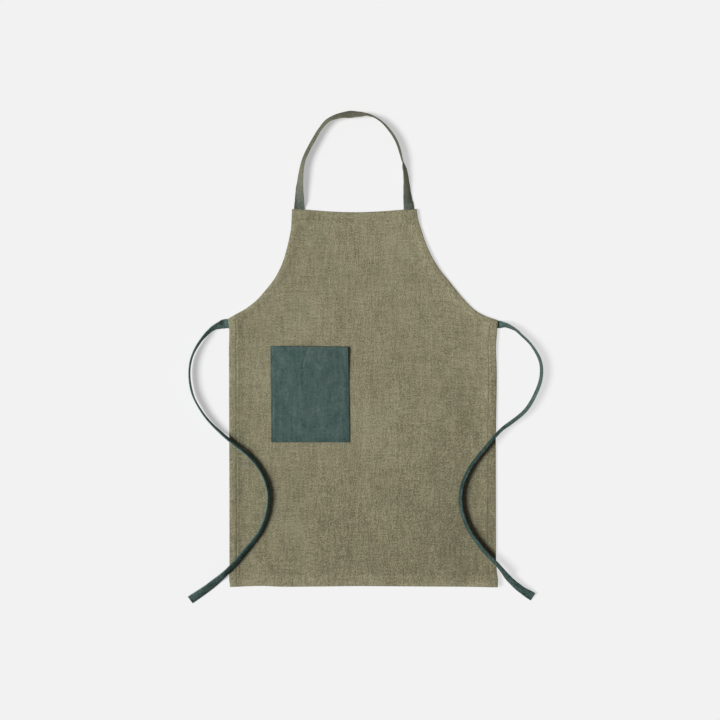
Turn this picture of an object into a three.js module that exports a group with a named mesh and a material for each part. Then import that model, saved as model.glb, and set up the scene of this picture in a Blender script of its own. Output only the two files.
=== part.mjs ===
import * as THREE from "three";

// Kids apron lying flat, front up, in millimetres. X runs across it, Y from the bottom hem up to
// the bib, and Z up from the floor. The origin lies on the floor under the middle of the panel.

// Cloth
const CLOTH = 1.0; // wall of the panel's and the pocket's cloth
const TAPE = 1.8; // thickness of the folded tape of the strap and the ties
const CLEAR = 0.3; // gap between pieces that lie on each other

// Panel
const APRON_LENGTH = 606; // bottom hem to the bib's corners
const BODY_WIDTH = 429; // between the side hems
const BIB_WIDTH = 200; // along the bib's top edge
const BIB_SHIFT = -14; // how far beside the body's middle the bib was laid
const BIB_DROOP = 5; // how far the bib's top edge sags between its corners
const ARMHOLE_DEPTH = 175.5; // bib corner down to the left waist corner
const WAIST_SKEW = 2.9; // how much lower the right waist corner lies

// Hems, all turned once onto the back
const SIDE_HEM = 12;
const ARMHOLE_HEM = 8;
const BOTTOM_HEM = 16;
const BIB_HEM = 16;
const HEM_EASE = 10; // width in which the cloth sinks from its hem to the floor
const FOLD_STEP = 0.5; // width of the step at a hem's inner edge

// Places where the panel stands off the floor
const CORNER_LIFT = 5; // height of the curled bottom right corner
const SEAT_MARGIN = 1.2; // how far the panel stays raised round a strap end under it
const SEAT_FALL = 14; // width in which it comes down again

// Pocket
const POCKET_WIDTH = 124.5;
const POCKET_DEPTH = 153;
const POCKET_FROM_SIDE = 67; // left side hem to the pocket
const POCKET_BELOW_WAIST = 44; // waist corner to the pocket's mouth
const POCKET_SEAM = 8; // turned edge along its sides and bottom
const POCKET_HEM = 20; // turned edge along its mouth
const POCKET_GAPE = 7; // how far the mouth's middle stands off the panel
const POCKET_FLARE = 0.012; // share by which it is wider at its bottom than at its mouth
const POCKET_SKEW = 0.01; // share of its width by which its bottom and its mouth lie askew

// Neck strap
const NECK_WIDTH = 17;
const NECK_RISE = 152.5; // bib's top edge to the top of the loop
const NECK_INSET = 3.5; // bib corner to the strap's outer edge
const NECK_TUCK = 15; // length sewn behind the bib

// Waist ties
const TIE_WIDTH = 15;
const TIE_LENGTH = 568; // free length of each
const TIE_DROP = 0.8; // waist corner to the tie's upper edge
const TIE_TUCK = 11; // length sewn behind the side hem
const TIE_BRIDGE = 4; // height at which a tie crosses the floor between its hem and the panel

// How finely the pieces are drawn
const PANEL_ROW = 26; // widest spacing of the panel's rows
const PANEL_MIDDLE = 8; // spans between its two hems
const POCKET_ROW = 12;
const RIBBON_ROW = 5;
const LEAST_ROW = 0.4;
const STEEPEST = 2.2; // most that a hem is widened where its edge runs aslant
const COMPASS = 8; // directions looked in for the highest cloth near a place

// How full the curves are, as powers of a sine or cosine
const DROOP_CURVE = 1.5;
const BELLY_ACROSS = 0.75;
const BELLY_DOWN = 1.2;

const TOP = APRON_LENGTH / 2;

// Armhole edges: share of the way down, and share of the way out from bib corner to waist corner
const ARMHOLE = [
  { down: 0.0, left: 0.0, right: 0.0 },
  { down: 0.1, left: 0.006, right: 0.022 },
  { down: 0.19, left: 0.018, right: 0.06 },
  { down: 0.28, left: 0.048, right: 0.1 },
  { down: 0.37, left: 0.086, right: 0.15 },
  { down: 0.46, left: 0.131, right: 0.213 },
  { down: 0.55, left: 0.194, right: 0.292 },
  { down: 0.64, left: 0.28, right: 0.392 },
  { down: 0.73, left: 0.4, right: 0.49 },
  { down: 0.83, left: 0.553, right: 0.607 },
  { down: 0.91, left: 0.727, right: 0.722 },
  { down: 0.96, left: 0.878, right: 0.844 },
  { down: 1.0, left: 1.0, right: 1.0 },
];

// Side edges: share of the way from waist to bottom hem, and how far each edge stands out, as
// shares of the body's width
const SIDES = [
  { down: 0.0, left: 0.0037, right: 0.005 },
  { down: 0.05, left: 0.0, right: 0.0005 },
  { down: 0.1, left: 0.0011, right: -0.0026 },
  { down: 0.2, left: 0.001, right: 0.0 },
  { down: 0.45, left: 0.0002, right: -0.0034 },
  { down: 0.7, left: -0.0006, right: -0.0034 },
  { down: 0.92, left: -0.0006, right: -0.002 },
  { down: 0.97, left: 0.0, right: 0.0034 },
  { down: 1.0, left: -0.003, right: 0.003 },
];

// Bottom hem: share of the way across, and how far it stands up, as a share of the apron's length
const BOTTOM = [
  { across: 0.0, up: 0.0 },
  { across: 0.12, up: 0.0026 },
  { across: 0.19, up: 0.0006 },
  { across: 0.34, up: 0.0011 },
  { across: 0.49, up: 0.0022 },
  { across: 0.62, up: 0.0016 },
  { across: 0.81, up: 0.0008 },
  { across: 1.0, up: 0.0 },
];

// Where the panel curls off the floor: place and reach as shares of its width and length, and
// height as a share of the curled corner's
const CURLS = [
  { across: 0.5, up: -0.5, reach: 0.13, height: 1.0 },
  { across: -0.5, up: -0.5, reach: 0.07, height: 0.3 },
  { across: 0.5, up: 0.15, reach: 0.1, height: 0.4 },
  { across: 0.27, up: 0.39, reach: 0.14, height: 0.5 },
];

// Neck strap from the left leg over the top to the right leg: shares of the span between the legs
// and of the rise, and how far the tape is turned up onto its outer edge, in degrees
const NECK_ROUTE = [
  { across: -0.5, up: 0.035, lean: 0 },
  { across: -0.5, up: 0.096, lean: 27 },
  { across: -0.501, up: 0.201, lean: 44 },
  { across: -0.495, up: 0.306, lean: 59 },
  { across: -0.485, up: 0.412, lean: 68 },
  { across: -0.464, up: 0.517, lean: 73 },
  { across: -0.424, up: 0.622, lean: 73 },
  { across: -0.374, up: 0.727, lean: 72 },
  { across: -0.319, up: 0.833, lean: 76 },
  { across: -0.24, up: 0.935, lean: 70 },
  { across: -0.13, up: 0.985, lean: 59 },
  { across: -0.039, up: 0.996, lean: 45 },
  { across: 0.052, up: 0.999, lean: 60 },
  { across: 0.125, up: 0.991, lean: 80 },
  { across: 0.23, up: 0.933, lean: 83 },
  { across: 0.318, up: 0.83, lean: 81 },
  { across: 0.377, up: 0.727, lean: 81 },
  { across: 0.412, up: 0.622, lean: 79 },
  { across: 0.438, up: 0.517, lean: 76 },
  { across: 0.465, up: 0.412, lean: 68 },
  { across: 0.477, up: 0.306, lean: 60 },
  { across: 0.482, up: 0.201, lean: 49 },
  { across: 0.489, up: 0.096, lean: 31 },
  { across: 0.498, up: 0.035, lean: 0 },
];

// Waist ties from the side hem to the free end: outward and downward places as shares of the
// tie's length, turn onto the lower edge in degrees, over, 1 where the tie lies on the panel, and
// held, the share of TIE_BRIDGE that its lower edge stands off the floor
const LEFT_TIE_ROUTE = [
  { out: 0.01, down: 0.0, lean: 0, over: 0, held: 0 },
  { out: 0.026, down: 0.005, lean: 54, over: 0, held: 0 },
  { out: 0.039, down: 0.01, lean: 76, over: 0, held: 0.2 },
  { out: 0.054, down: 0.021, lean: 80, over: 0, held: 0.5 },
  { out: 0.081, down: 0.052, lean: 82, over: 0, held: 1 },
  { out: 0.103, down: 0.094, lean: 84, over: 0, held: 1 },
  { out: 0.11, down: 0.135, lean: 85, over: 0, held: 1 },
  { out: 0.106, down: 0.18, lean: 84, over: 0, held: 1 },
  { out: 0.094, down: 0.216, lean: 86, over: 0, held: 1 },
  { out: 0.0575, down: 0.272, lean: 84, over: 1, held: 0.7 },
  { out: -0.003, down: 0.328, lean: 77, over: 1, held: 0 },
  { out: -0.057, down: 0.372, lean: 76, over: 1, held: 0 },
  { out: -0.0915, down: 0.416, lean: 77, over: 1, held: 0 },
  { out: -0.111, down: 0.47, lean: 77, over: 1, held: 0 },
  { out: -0.11, down: 0.52, lean: 77, over: 1, held: 0 },
  { out: -0.091, down: 0.583, lean: 73, over: 1, held: 0 },
  { out: -0.05, down: 0.639, lean: 67, over: 1, held: 0 },
  { out: -0.002, down: 0.695, lean: 60, over: 1, held: 0 },
  { out: 0.054, down: 0.741, lean: 52, over: 1, held: 0 },
  { out: 0.11, down: 0.78, lean: 38, over: 1, held: 0 },
];
const RIGHT_TIE_ROUTE = [
  { out: 0.007, down: 0.0, lean: 0, over: 0, held: 0 },
  { out: 0.015, down: 0.0, lean: 48, over: 0, held: 0 },
  { out: 0.024, down: 0.0, lean: 63, over: 0, held: 0 },
  { out: 0.037, down: 0.005, lean: 73, over: 0, held: 0.2 },
  { out: 0.052, down: 0.0135, lean: 80, over: 0, held: 0.45 },
  { out: 0.066, down: 0.0265, lean: 82, over: 0, held: 0.7 },
  { out: 0.093, down: 0.0535, lean: 82, over: 0, held: 1 },
  { out: 0.119, down: 0.099, lean: 78, over: 0, held: 1 },
  { out: 0.1225, down: 0.14, lean: 76, over: 0, held: 1 },
  { out: 0.111, down: 0.182, lean: 74, over: 0, held: 1 },
  { out: 0.078, down: 0.239, lean: 73, over: 0, held: 0.9 },
  { out: 0.014, down: 0.291, lean: 72, over: 1, held: 0.1 },
  { out: -0.039, down: 0.346, lean: 73, over: 1, held: 0 },
  { out: -0.083, down: 0.409, lean: 77, over: 1, held: 0 },
  { out: -0.1045, down: 0.465, lean: 80, over: 1, held: 0 },
  { out: -0.1045, down: 0.521, lean: 81, over: 1, held: 0 },
  { out: -0.083, down: 0.578, lean: 76, over: 1, held: 0 },
  { out: -0.044, down: 0.634, lean: 73, over: 1, held: 0 },
  { out: 0.0, down: 0.68, lean: 68, over: 1, held: 0 },
  { out: 0.037, down: 0.719, lean: 60, over: 1, held: 0 },
  { out: 0.066, down: 0.7435, lean: 52, over: 1, held: 0 },
  { out: 0.1, down: 0.766, lean: 39, over: 1, held: 0 },
];

// Eases from 0 to 1 while t goes from 0 to 1
function smooth(t) {
  const held = Math.min(Math.max(t, 0), 1);
  return held * held * (3 - 2 * held);
}

// Reads a column of a table at any place of its key column, on a smooth curve through the rows
function read(rows, key, column, at) {
  const last = rows.length - 1;
  const above = rows.findIndex((row) => row[key] > at);
  const i = above < 0 ? last - 1 : Math.max(above - 1, 0);
  const slope = (k) => {
    const before = rows[Math.max(k - 1, 0)];
    const after = rows[Math.min(k + 1, last)];
    return (after[column] - before[column]) / (after[key] - before[key]);
  };
  const span = rows[i + 1][key] - rows[i][key];
  const t = Math.min(Math.max((at - rows[i][key]) / span, 0), 1);
  const rise = rows[i + 1][column] - rows[i][column];
  const bend = (1 - t) * (slope(i) * span - rise) - t * (slope(i + 1) * span - rise);
  return rows[i][column] + rise * t + t * (1 - t) * bend;
}

// Sorted places with every needed one, filled up to a widest spacing and with near doubles dropped
function spaced(needed, widest) {
  const sorted = [...needed].sort((a, b) => a - b);
  const end = sorted[sorted.length - 1];
  const places = [sorted[0]];
  for (const next of sorted) {
    const from = places[places.length - 1];
    if (next - from < LEAST_ROW) continue;
    if (next < end && end - next < LEAST_ROW) continue;
    const spans = Math.ceil((next - from) / widest);
    for (let k = 1; k <= spans; k++) places.push(from + ((next - from) * k) / spans);
  }
  return places;
}

// Height of the waist corner on one side, -1 for left and 1 for right
function waistY(side) {
  return TOP - ARMHOLE_DEPTH - (side > 0 ? WAIST_SKEW : 0);
}

// X of the panel's edge at height y
function edgeX(y, side) {
  const column = side < 0 ? "left" : "right";
  const waist = waistY(side);
  const down = Math.max((waist - y) / (waist + TOP), 0);
  const body = side * BODY_WIDTH * (0.5 + read(SIDES, "down", column, down));
  if (y <= waist) return body;
  const bib = BIB_SHIFT + (side * BIB_WIDTH) / 2;
  return bib + (body - bib) * read(ARMHOLE, "down", column, (TOP - y) / (TOP - waist));
}

// How much wider a hem measures along X than square to its edge
function slant(y, side) {
  const away = y > waistY(side) ? 1 : -1;
  return Math.min(Math.hypot(1, edgeX(y + away, side) - edgeX(y, side)), STEEPEST);
}

function sideHem(y, side) {
  return y > waistY(side) ? ARMHOLE_HEM : SIDE_HEM;
}

// How the cloth lies some way in from a hemmed edge: turned is 1 where the hem's second layer is
// under it, and raised falls from 1 over the hem to 0 where the cloth has sunk again
function hemAt(inset, hem) {
  return {
    turned: inset < hem - FOLD_STEP / 2 ? 1 : 0,
    raised: 1 - smooth((inset - hem) / HEM_EASE),
    pinched: inset < CLOTH / 4 ? 1 : 0,
  };
}

function tieY(side) {
  return waistY(side) - TIE_DROP - TIE_WIDTH / 2;
}

function neckX(side) {
  return BIB_SHIFT + side * (BIB_WIDTH / 2 - NECK_INSET - NECK_WIDTH / 2);
}

// Height that the panel stands off the floor: over the sewn ends of strap and ties, and in curls
function lift(x, y) {
  const seat = TAPE + CLEAR;
  const fall = (past) => 1 - smooth((past - SEAT_MARGIN) / SEAT_FALL);
  let highest = 0;
  for (const side of [-1, 1]) {
    const inset = side * (edgeX(y, side) - x);
    const tie = fall(inset - TIE_TUCK) * fall(Math.abs(y - tieY(side)) - TIE_WIDTH / 2);
    const strap = fall(inset - NECK_INSET - NECK_WIDTH) * fall(TOP - NECK_TUCK - y);
    highest = Math.max(highest, seat * tie, seat * strap);
  }
  for (const curl of CURLS) {
    const away = Math.hypot(x - curl.across * BODY_WIDTH, y - curl.up * APRON_LENGTH);
    highest += CORNER_LIFT * curl.height * (1 - smooth(away / (curl.reach * BODY_WIDTH)));
  }
  return highest;
}

// Top of the panel at a place, or 0 beside it
function panelTop(x, y) {
  const insets = [-1, 1].map((side) => (side * (edgeX(y, side) - x)) / slant(y, side));
  if (Math.min(...insets) < 0 || Math.abs(y) > TOP) return 0;
  const raised = Math.max(
    hemAt(insets[0], sideHem(y, -1)).raised,
    hemAt(insets[1], sideHem(y, 1)).raised,
    hemAt(TOP + y, BOTTOM_HEM).raised,
    hemAt(TOP - y, BIB_HEM).raised,
  );
  return lift(x, y) + CLOTH * (1 + raised);
}

// Lowest height at which a piece clears the panel within a reach of a place, or 0 on the floor
function restOn(x, y, reach) {
  let highest = panelTop(x, y);
  for (let k = 0; k < COMPASS; k++) {
    const turn = (k * 2 * Math.PI) / COMPASS;
    highest = Math.max(highest, panelTop(x + reach * Math.cos(turn), y + reach * Math.sin(turn)));
  }
  return highest > 0 ? highest + CLEAR : 0;
}

// A solid from points and triangles, turned right side out
function solid(points, triangles) {
  const geometry = new THREE.BufferGeometry();
  geometry.setAttribute("position", new THREE.Float32BufferAttribute(points.flat(), 3));
  const corner = triangles.map((triangle) => triangle.map((i) => new THREE.Vector3(...points[i])));
  const volume = corner.reduce((sum, [a, b, c]) => sum + a.dot(b.clone().cross(c)), 0);
  const facing = volume < 0 ? triangles.map(([a, b, c]) => [a, c, b]) : triangles;
  geometry.setIndex(facing.flat());
  geometry.computeVertexNormals();
  return geometry;
}

// A sheet between a grid of upper and a grid of lower points, closed by a rim
function sheet(upper, lower) {
  const rows = upper.length;
  const columns = upper[0].length;
  const points = [...upper.flat(), ...lower.flat()];
  const at = (row, column, below) => (below * rows + row) * columns + column;
  const triangles = [];
  const quad = (a, b, c, d) => triangles.push([a, b, c], [a, c, d]);
  for (let r = 0; r < rows - 1; r++) {
    for (let c = 0; c < columns - 1; c++) {
      quad(at(r, c, 0), at(r, c + 1, 0), at(r + 1, c + 1, 0), at(r + 1, c, 0));
      quad(at(r, c, 1), at(r + 1, c, 1), at(r + 1, c + 1, 1), at(r, c + 1, 1));
    }
  }
  for (let c = 0; c < columns - 1; c++) {
    quad(at(0, c, 1), at(0, c + 1, 1), at(0, c + 1, 0), at(0, c, 0));
    quad(at(rows - 1, c, 0), at(rows - 1, c + 1, 0), at(rows - 1, c + 1, 1), at(rows - 1, c, 1));
  }
  for (let r = 0; r < rows - 1; r++) {
    quad(at(r, 0, 0), at(r + 1, 0, 0), at(r + 1, 0, 1), at(r, 0, 1));
    quad(at(r, columns - 1, 1), at(r + 1, columns - 1, 1), at(r + 1, columns - 1, 0), at(r, columns - 1, 0));
  }
  return solid(points, triangles);
}

// Rows of the panel from the bottom hem to the bib, as heights before the edges' waves
function panelRows() {
  const needed = [-TOP, TOP, -TOP + CLOTH / 2, TOP - CLOTH / 2];
  needed.push(-TOP + BOTTOM_HEM - FOLD_STEP, -TOP + BOTTOM_HEM, -TOP + BOTTOM_HEM + HEM_EASE);
  needed.push(TOP - BIB_HEM + FOLD_STEP, TOP - BIB_HEM, TOP - BIB_HEM - HEM_EASE);
  needed.push(TOP - NECK_TUCK - SEAT_MARGIN, TOP - NECK_TUCK - SEAT_MARGIN - SEAT_FALL);
  for (const side of [-1, 1]) {
    const reach = TIE_WIDTH / 2 + SEAT_MARGIN;
    needed.push(waistY(side), tieY(side) - reach, tieY(side) - reach - SEAT_FALL);
  }
  for (const row of ARMHOLE) needed.push(TOP - row.down * (TOP - waistY(-1)));
  return spaced(needed, PANEL_ROW);
}

// Distances in from one side edge at which the panel has columns
function panelInsets(y, side) {
  const hem = sideHem(y, side);
  const seated = Math.max(NECK_INSET + NECK_WIDTH, TIE_TUCK) + SEAT_MARGIN;
  const eased = Math.max(seated, hem + HEM_EASE);
  return [0, CLOTH / 2, hem - FOLD_STEP, hem, eased, eased + SEAT_FALL];
}

function panelGeometry() {
  const upper = [];
  const lower = [];
  for (const y of panelRows()) {
    const left = edgeX(y, -1);
    const right = edgeX(y, 1);
    const insets = [-1, 1].map((side) => panelInsets(y, side));
    const columns = insets[0].map((inset) => ({ inset, side: -1, x: left + inset * slant(y, -1) }));
    const others = insets[1].map((inset) => ({ inset, side: 1, x: right - inset * slant(y, 1) }));
    const from = columns[columns.length - 1];
    const to = others[others.length - 1];
    for (let k = 1; k < PANEL_MIDDLE; k++) {
      const x = from.x + ((to.x - from.x) * k) / PANEL_MIDDLE;
      columns.push({ inset: Math.min(x - left, right - x), side: 1, x });
    }
    columns.push(...others.reverse());
    const endHem = y > 0 ? BIB_HEM : BOTTOM_HEM;
    const end = hemAt(TOP - Math.abs(y), endHem);
    const nearEnd = smooth((Math.abs(y) - waistY(-1)) / (TOP - endHem - HEM_EASE - waistY(-1)));
    const rowAbove = [];
    const rowBelow = [];
    for (const { inset, side, x } of columns) {
      const edge = hemAt(inset, sideHem(y, side));
      const across = (x - left) / (right - left);
      const sag = -BIB_DROOP * Math.sin(Math.PI * across) ** DROOP_CURVE;
      const wave = APRON_LENGTH * read(BOTTOM, "across", "up", across);
      const shifted = y + nearEnd * (y > 0 ? sag : wave);
      const raised = Math.max(edge.raised, end.raised);
      const turned = Math.max(edge.turned, end.turned);
      const pinch = (Math.max(edge.pinched, end.pinched) * CLOTH) / 2;
      const base = lift(x, y);
      rowAbove.push([x, shifted, base + CLOTH * (1 + raised) - pinch]);
      rowBelow.push([x, shifted, base + CLOTH * (raised - turned) + pinch]);
    }
    upper.push(rowAbove);
    lower.push(rowBelow);
  }
  return sheet(upper, lower);
}

// The patch pocket: a sheet that lies on the panel along three turned edges and gapes at its mouth
function pocketGeometry() {
  const mouth = waistY(-1) - POCKET_BELOW_WAIST;
  const leftEdge = -BODY_WIDTH / 2 + POCKET_FROM_SIDE;
  const turned = [0, CLOTH / 2, POCKET_SEAM - FOLD_STEP, POCKET_SEAM, POCKET_SEAM + HEM_EASE];
  const fromRight = turned.map((inset) => POCKET_WIDTH - inset);
  const columns = spaced([...turned, ...fromRight], POCKET_ROW);
  const fromBottom = turned.map((inset) => POCKET_DEPTH - inset);
  const mouthRows = [0, CLOTH / 2, POCKET_HEM - FOLD_STEP, POCKET_HEM];
  const rows = spaced([...mouthRows, ...fromBottom], POCKET_ROW);
  const upper = [];
  const lower = [];
  for (const down of rows) {
    const rowAbove = [];
    const rowBelow = [];
    for (const along of columns) {
      const across = along / POCKET_WIDTH;
      const share = down / POCKET_DEPTH;
      const skew = POCKET_SKEW * POCKET_WIDTH;
      const x = leftEdge + along * (1 + POCKET_FLARE * share) + skew * share;
      const y = mouth - down - skew * across * (1 - share);
      const side = hemAt(Math.min(along, POCKET_WIDTH - along), POCKET_SEAM);
      const bottom = hemAt(POCKET_DEPTH - down, POCKET_SEAM);
      const isPinched = Math.max(side.pinched, bottom.pinched, down < CLOTH / 4 ? 1 : 0);
      const raised = Math.max(side.raised, bottom.raised);
      const layers = Math.max(side.turned, bottom.turned, down < POCKET_HEM - FOLD_STEP / 2 ? 1 : 0);
      const bellyAcross = Math.sin(Math.PI * across) ** BELLY_ACROSS;
      const bellyDown = Math.cos((Math.PI / 2) * share) ** BELLY_DOWN;
      const belly = POCKET_GAPE * bellyAcross * bellyDown;
      const outer = restOn(x, y, HEM_EASE) + CLOTH * (1 + raised) + belly;
      rowAbove.push([x, y, outer - (isPinched * CLOTH) / 2]);
      rowBelow.push([x, y, outer - CLOTH * (1 + layers) + (isPinched * CLOTH) / 2]);
    }
    upper.push(rowAbove);
    lower.push(rowBelow);
  }
  return sheet(upper, lower);
}

// A flat tape along stations of x, y, lean, over and held. At lean 0 it lies flat, and as it
// leans it turns up onto one edge: raised is 1 where its right edge rises, looking along it
function ribbonGeometry(stations, width, raised) {
  const curve = new THREE.CatmullRomCurve3(
    stations.map((station) => new THREE.Vector3(station.x, station.y, 0)),
    false,
    "centripetal",
  );
  const spans = Math.ceil(curve.getLength() / RIBBON_ROW);
  const steps = Array.from({ length: spans + 1 }, (_, k) => {
    const t = curve.getUtoTmapping(k / spans);
    const place = t * (stations.length - 1);
    const i = Math.min(Math.floor(place), stations.length - 2);
    const share = place - i;
    const between = (column) => stations[i][column] * (1 - share) + stations[i + 1][column] * share;
    const point = curve.getPoint(t);
    const lean = THREE.MathUtils.degToRad(between("lean"));
    const half = (width * Math.cos(lean) + TAPE * Math.sin(lean)) / 2;
    const below = between("over") > 0.5 ? restOn(point.x, point.y, half + 2 * RIBBON_ROW) : 0;
    const rest = below + between("held") * TIE_BRIDGE;
    return { point, lean, rest, along: curve.getTangent(t) };
  });
  const points = [];
  for (let k = 0; k <= spans; k++) {
    const { point, lean, along } = steps[k];
    const near = steps.slice(Math.max(k - 1, 0), k + 2);
    const rest = near.reduce((sum, step) => sum + step.rest, 0) / near.length;
    const aside = new THREE.Vector3(along.y, -along.x, 0).multiplyScalar(raised);
    const up = new THREE.Vector3(0, 0, 1);
    const across = aside.clone().multiplyScalar(Math.cos(lean)).addScaledVector(up, Math.sin(lean));
    const face = up.clone().multiplyScalar(Math.cos(lean)).addScaledVector(aside, -Math.sin(lean));
    const centre = point.clone();
    centre.z = rest + (width * Math.sin(lean) + TAPE * Math.cos(lean)) / 2;
    for (const [a, b] of [[-1, -1], [1, -1], [1, 1], [-1, 1]]) {
      const corner = centre.clone().addScaledVector(across, (a * width) / 2);
      points.push(corner.addScaledVector(face, (b * TAPE) / 2).toArray());
    }
  }
  const triangles = [[0, 1, 2], [0, 2, 3]];
  for (let k = 0; k < spans; k++) {
    for (let c = 0; c < 4; c++) {
      const a = 4 * k + c;
      const b = 4 * k + ((c + 1) % 4);
      triangles.push([a, a + 4, b + 4], [a, b + 4, b]);
    }
  }
  const end = 4 * spans;
  triangles.push([end, end + 2, end + 1], [end, end + 3, end + 2]);
  return solid(points, triangles);
}

// The neck strap, sewn behind both bib corners, its inner edge raised all the way round
function neckStrapGeometry() {
  const span = neckX(1) - neckX(-1);
  const middle = (neckX(1) + neckX(-1)) / 2;
  const sewn = (side) => ({ x: neckX(side), y: TOP - NECK_TUCK, lean: 0, over: 0, held: 0 });
  const free = NECK_ROUTE.map((row) => ({
    x: middle + row.across * span,
    y: TOP + row.up * NECK_RISE,
    lean: row.lean,
    over: 0,
    held: 0,
  }));
  return ribbonGeometry([sewn(-1), ...free, sewn(1)], NECK_WIDTH, 1);
}

// One waist tie, sewn behind its side hem, its upper edge raised
function tieGeometry(route, side) {
  const edge = edgeX(tieY(side), side);
  const sewn = { x: edge - side * TIE_TUCK, y: tieY(side), lean: 0, over: 0, held: 0 };
  const free = route.map((row) => ({
    x: edge + side * row.out * TIE_LENGTH,
    y: tieY(side) - row.down * TIE_LENGTH,
    lean: row.lean,
    over: row.over,
    held: row.held,
  }));
  return ribbonGeometry([sewn, ...free], TIE_WIDTH, -side);
}

const clothMaterial = (color, roughness) =>
  new THREE.MeshStandardMaterial({ color, roughness, metalness: 0 });
const melange = clothMaterial(0x868167, 0.95);
const tealCloth = clothMaterial(0x495c57, 0.9);
const strapTape = clothMaterial(0x656858, 0.85);
const tieTape = clothMaterial(0x3e5450, 0.85);

const group = new THREE.Group();

function add(name, geometry, material) {
  const mesh = new THREE.Mesh(geometry, material);
  mesh.name = name;
  group.add(mesh);
}

add("body_panel", panelGeometry(), melange);
add("pocket", pocketGeometry(), tealCloth);
add("neck_strap", neckStrapGeometry(), strapTape);
add("waist_tie_left", tieGeometry(LEFT_TIE_ROUTE, -1), tieTape);
add("waist_tie_right", tieGeometry(RIGHT_TIE_ROUTE, 1), tieTape);

export default group;
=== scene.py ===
import bpy
import numpy as np
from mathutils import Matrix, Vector


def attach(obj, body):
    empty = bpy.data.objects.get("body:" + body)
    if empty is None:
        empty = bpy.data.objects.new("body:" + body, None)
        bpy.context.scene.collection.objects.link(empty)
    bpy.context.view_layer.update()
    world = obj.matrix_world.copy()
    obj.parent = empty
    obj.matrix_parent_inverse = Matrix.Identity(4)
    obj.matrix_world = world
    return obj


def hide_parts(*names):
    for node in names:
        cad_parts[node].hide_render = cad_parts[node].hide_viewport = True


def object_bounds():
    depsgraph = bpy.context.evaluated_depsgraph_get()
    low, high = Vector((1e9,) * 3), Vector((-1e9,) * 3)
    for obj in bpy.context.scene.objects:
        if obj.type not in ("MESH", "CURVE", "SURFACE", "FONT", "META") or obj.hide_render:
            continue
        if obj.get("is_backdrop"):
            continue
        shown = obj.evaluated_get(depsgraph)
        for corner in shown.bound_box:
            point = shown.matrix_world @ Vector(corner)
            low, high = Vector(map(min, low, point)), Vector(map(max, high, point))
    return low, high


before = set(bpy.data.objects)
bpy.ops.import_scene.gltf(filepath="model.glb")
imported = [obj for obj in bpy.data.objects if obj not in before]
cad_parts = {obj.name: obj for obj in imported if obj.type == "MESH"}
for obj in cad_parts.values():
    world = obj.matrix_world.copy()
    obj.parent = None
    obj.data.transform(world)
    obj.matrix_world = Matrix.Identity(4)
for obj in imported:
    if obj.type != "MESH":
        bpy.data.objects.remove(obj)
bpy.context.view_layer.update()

# Camera, floor and light
# The apron lies front up on a pale floor, and the camera looks straight down on it. A soft
# light stands low on the left, and a weaker light comes from all round.
VIEW_WIDTH = 1.1552
VIEW_MIDDLE = (-0.0048, 0.0610)
LENS = 150
SENSOR = 36
FLOOR_DROP = 0.0004
FLOOR_REACH = 9.0
KEY_ELEVATION = 52
KEY_HEADING = 8
KEY_WIDTH = 25
KEY_POWER = 3.45
ROUND_POWER = 0.135
FLOOR_GLOW = (0.4, 0.645)
GLOW_ACROSS = (-0.1, 0.25)
FLOOR_TONE = 0.888


def put(tree, kind, inputs=(), **settings):
    """Adds a node with its settings, and sets each input to a number or joins it to a socket."""
    made = tree.nodes.new(kind)
    for name, value in settings.items():
        setattr(made, name, value)
    for key, value in dict(inputs).items():
        if isinstance(value, bpy.types.NodeSocket):
            tree.links.new(value, made.inputs[key])
        else:
            made.inputs[key].default_value = value
    return made


def calc(tree, operation, *values):
    """One step of arithmetic on sockets or numbers."""
    return put(tree, "ShaderNodeMath", enumerate(values), operation=operation).outputs[0]


def ramp(tree, value, start, end, low=0.0, high=1.0):
    """low where a socket's value is at start, high where it is at end, and smooth between."""
    return put(
        tree,
        "ShaderNodeMapRange",
        {"Value": value, "From Min": start, "From Max": end, "To Min": low, "To Max": high},
        interpolation_type="SMOOTHSTEP",
    ).outputs[0]


def shade(red, green, blue):
    """A colour given as a picture has it, 0 to 255, as the light it stands for."""
    share = np.array([red, green, blue]) / 255
    light = np.where(share <= 0.04045, share / 12.92, ((share + 0.055) / 1.055) ** 2.4)
    return (*light.tolist(), 1.0)


def placed(name, data):
    """A new object in the scene, with its camera, light or mesh."""
    made = bpy.data.objects.new(name, data)
    bpy.context.scene.collection.objects.link(made)
    return made


camera_data = bpy.data.cameras.new("camera")
camera_data.lens = LENS
camera_data.sensor_width = SENSOR
camera_data.clip_end = 100
camera = placed("camera", camera_data)
camera.location = (*VIEW_MIDDLE, VIEW_WIDTH * LENS / SENSOR)
bpy.context.scene.camera = camera
bpy.context.scene.view_settings.view_transform = "Standard"

key_data = bpy.data.lights.new("key_light", "SUN")
key_data.energy = KEY_POWER
key_data.angle = np.radians(KEY_WIDTH)
key_light = placed("key_light", key_data)
level = np.cos(np.radians(KEY_ELEVATION))
key_way = Vector(
    (
        level * np.cos(np.radians(KEY_HEADING)),
        level * np.sin(np.radians(KEY_HEADING)),
        -np.sin(np.radians(KEY_ELEVATION)),
    )
)
key_light.rotation_euler = key_way.to_track_quat("-Z", "Y").to_euler()

world = bpy.data.worlds.new("studio")
world.use_nodes = True
air = world.node_tree
air.nodes.clear()
light_path = put(air, "ShaderNodeLightPath")
around = put(air, "ShaderNodeBackground", {"Color": (1, 1, 1, 1), "Strength": ROUND_POWER})
backdrop = put(air, "ShaderNodeBackground", {"Color": shade(242, 242, 242), "Strength": 1.0})
seen_air = put(
    air,
    "ShaderNodeMixShader",
    {0: light_path.outputs["Is Camera Ray"], 1: around.outputs[0], 2: backdrop.outputs[0]},
)
put(air, "ShaderNodeOutputWorld", {"Surface": seen_air.outputs[0]})
bpy.context.scene.world = world

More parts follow.
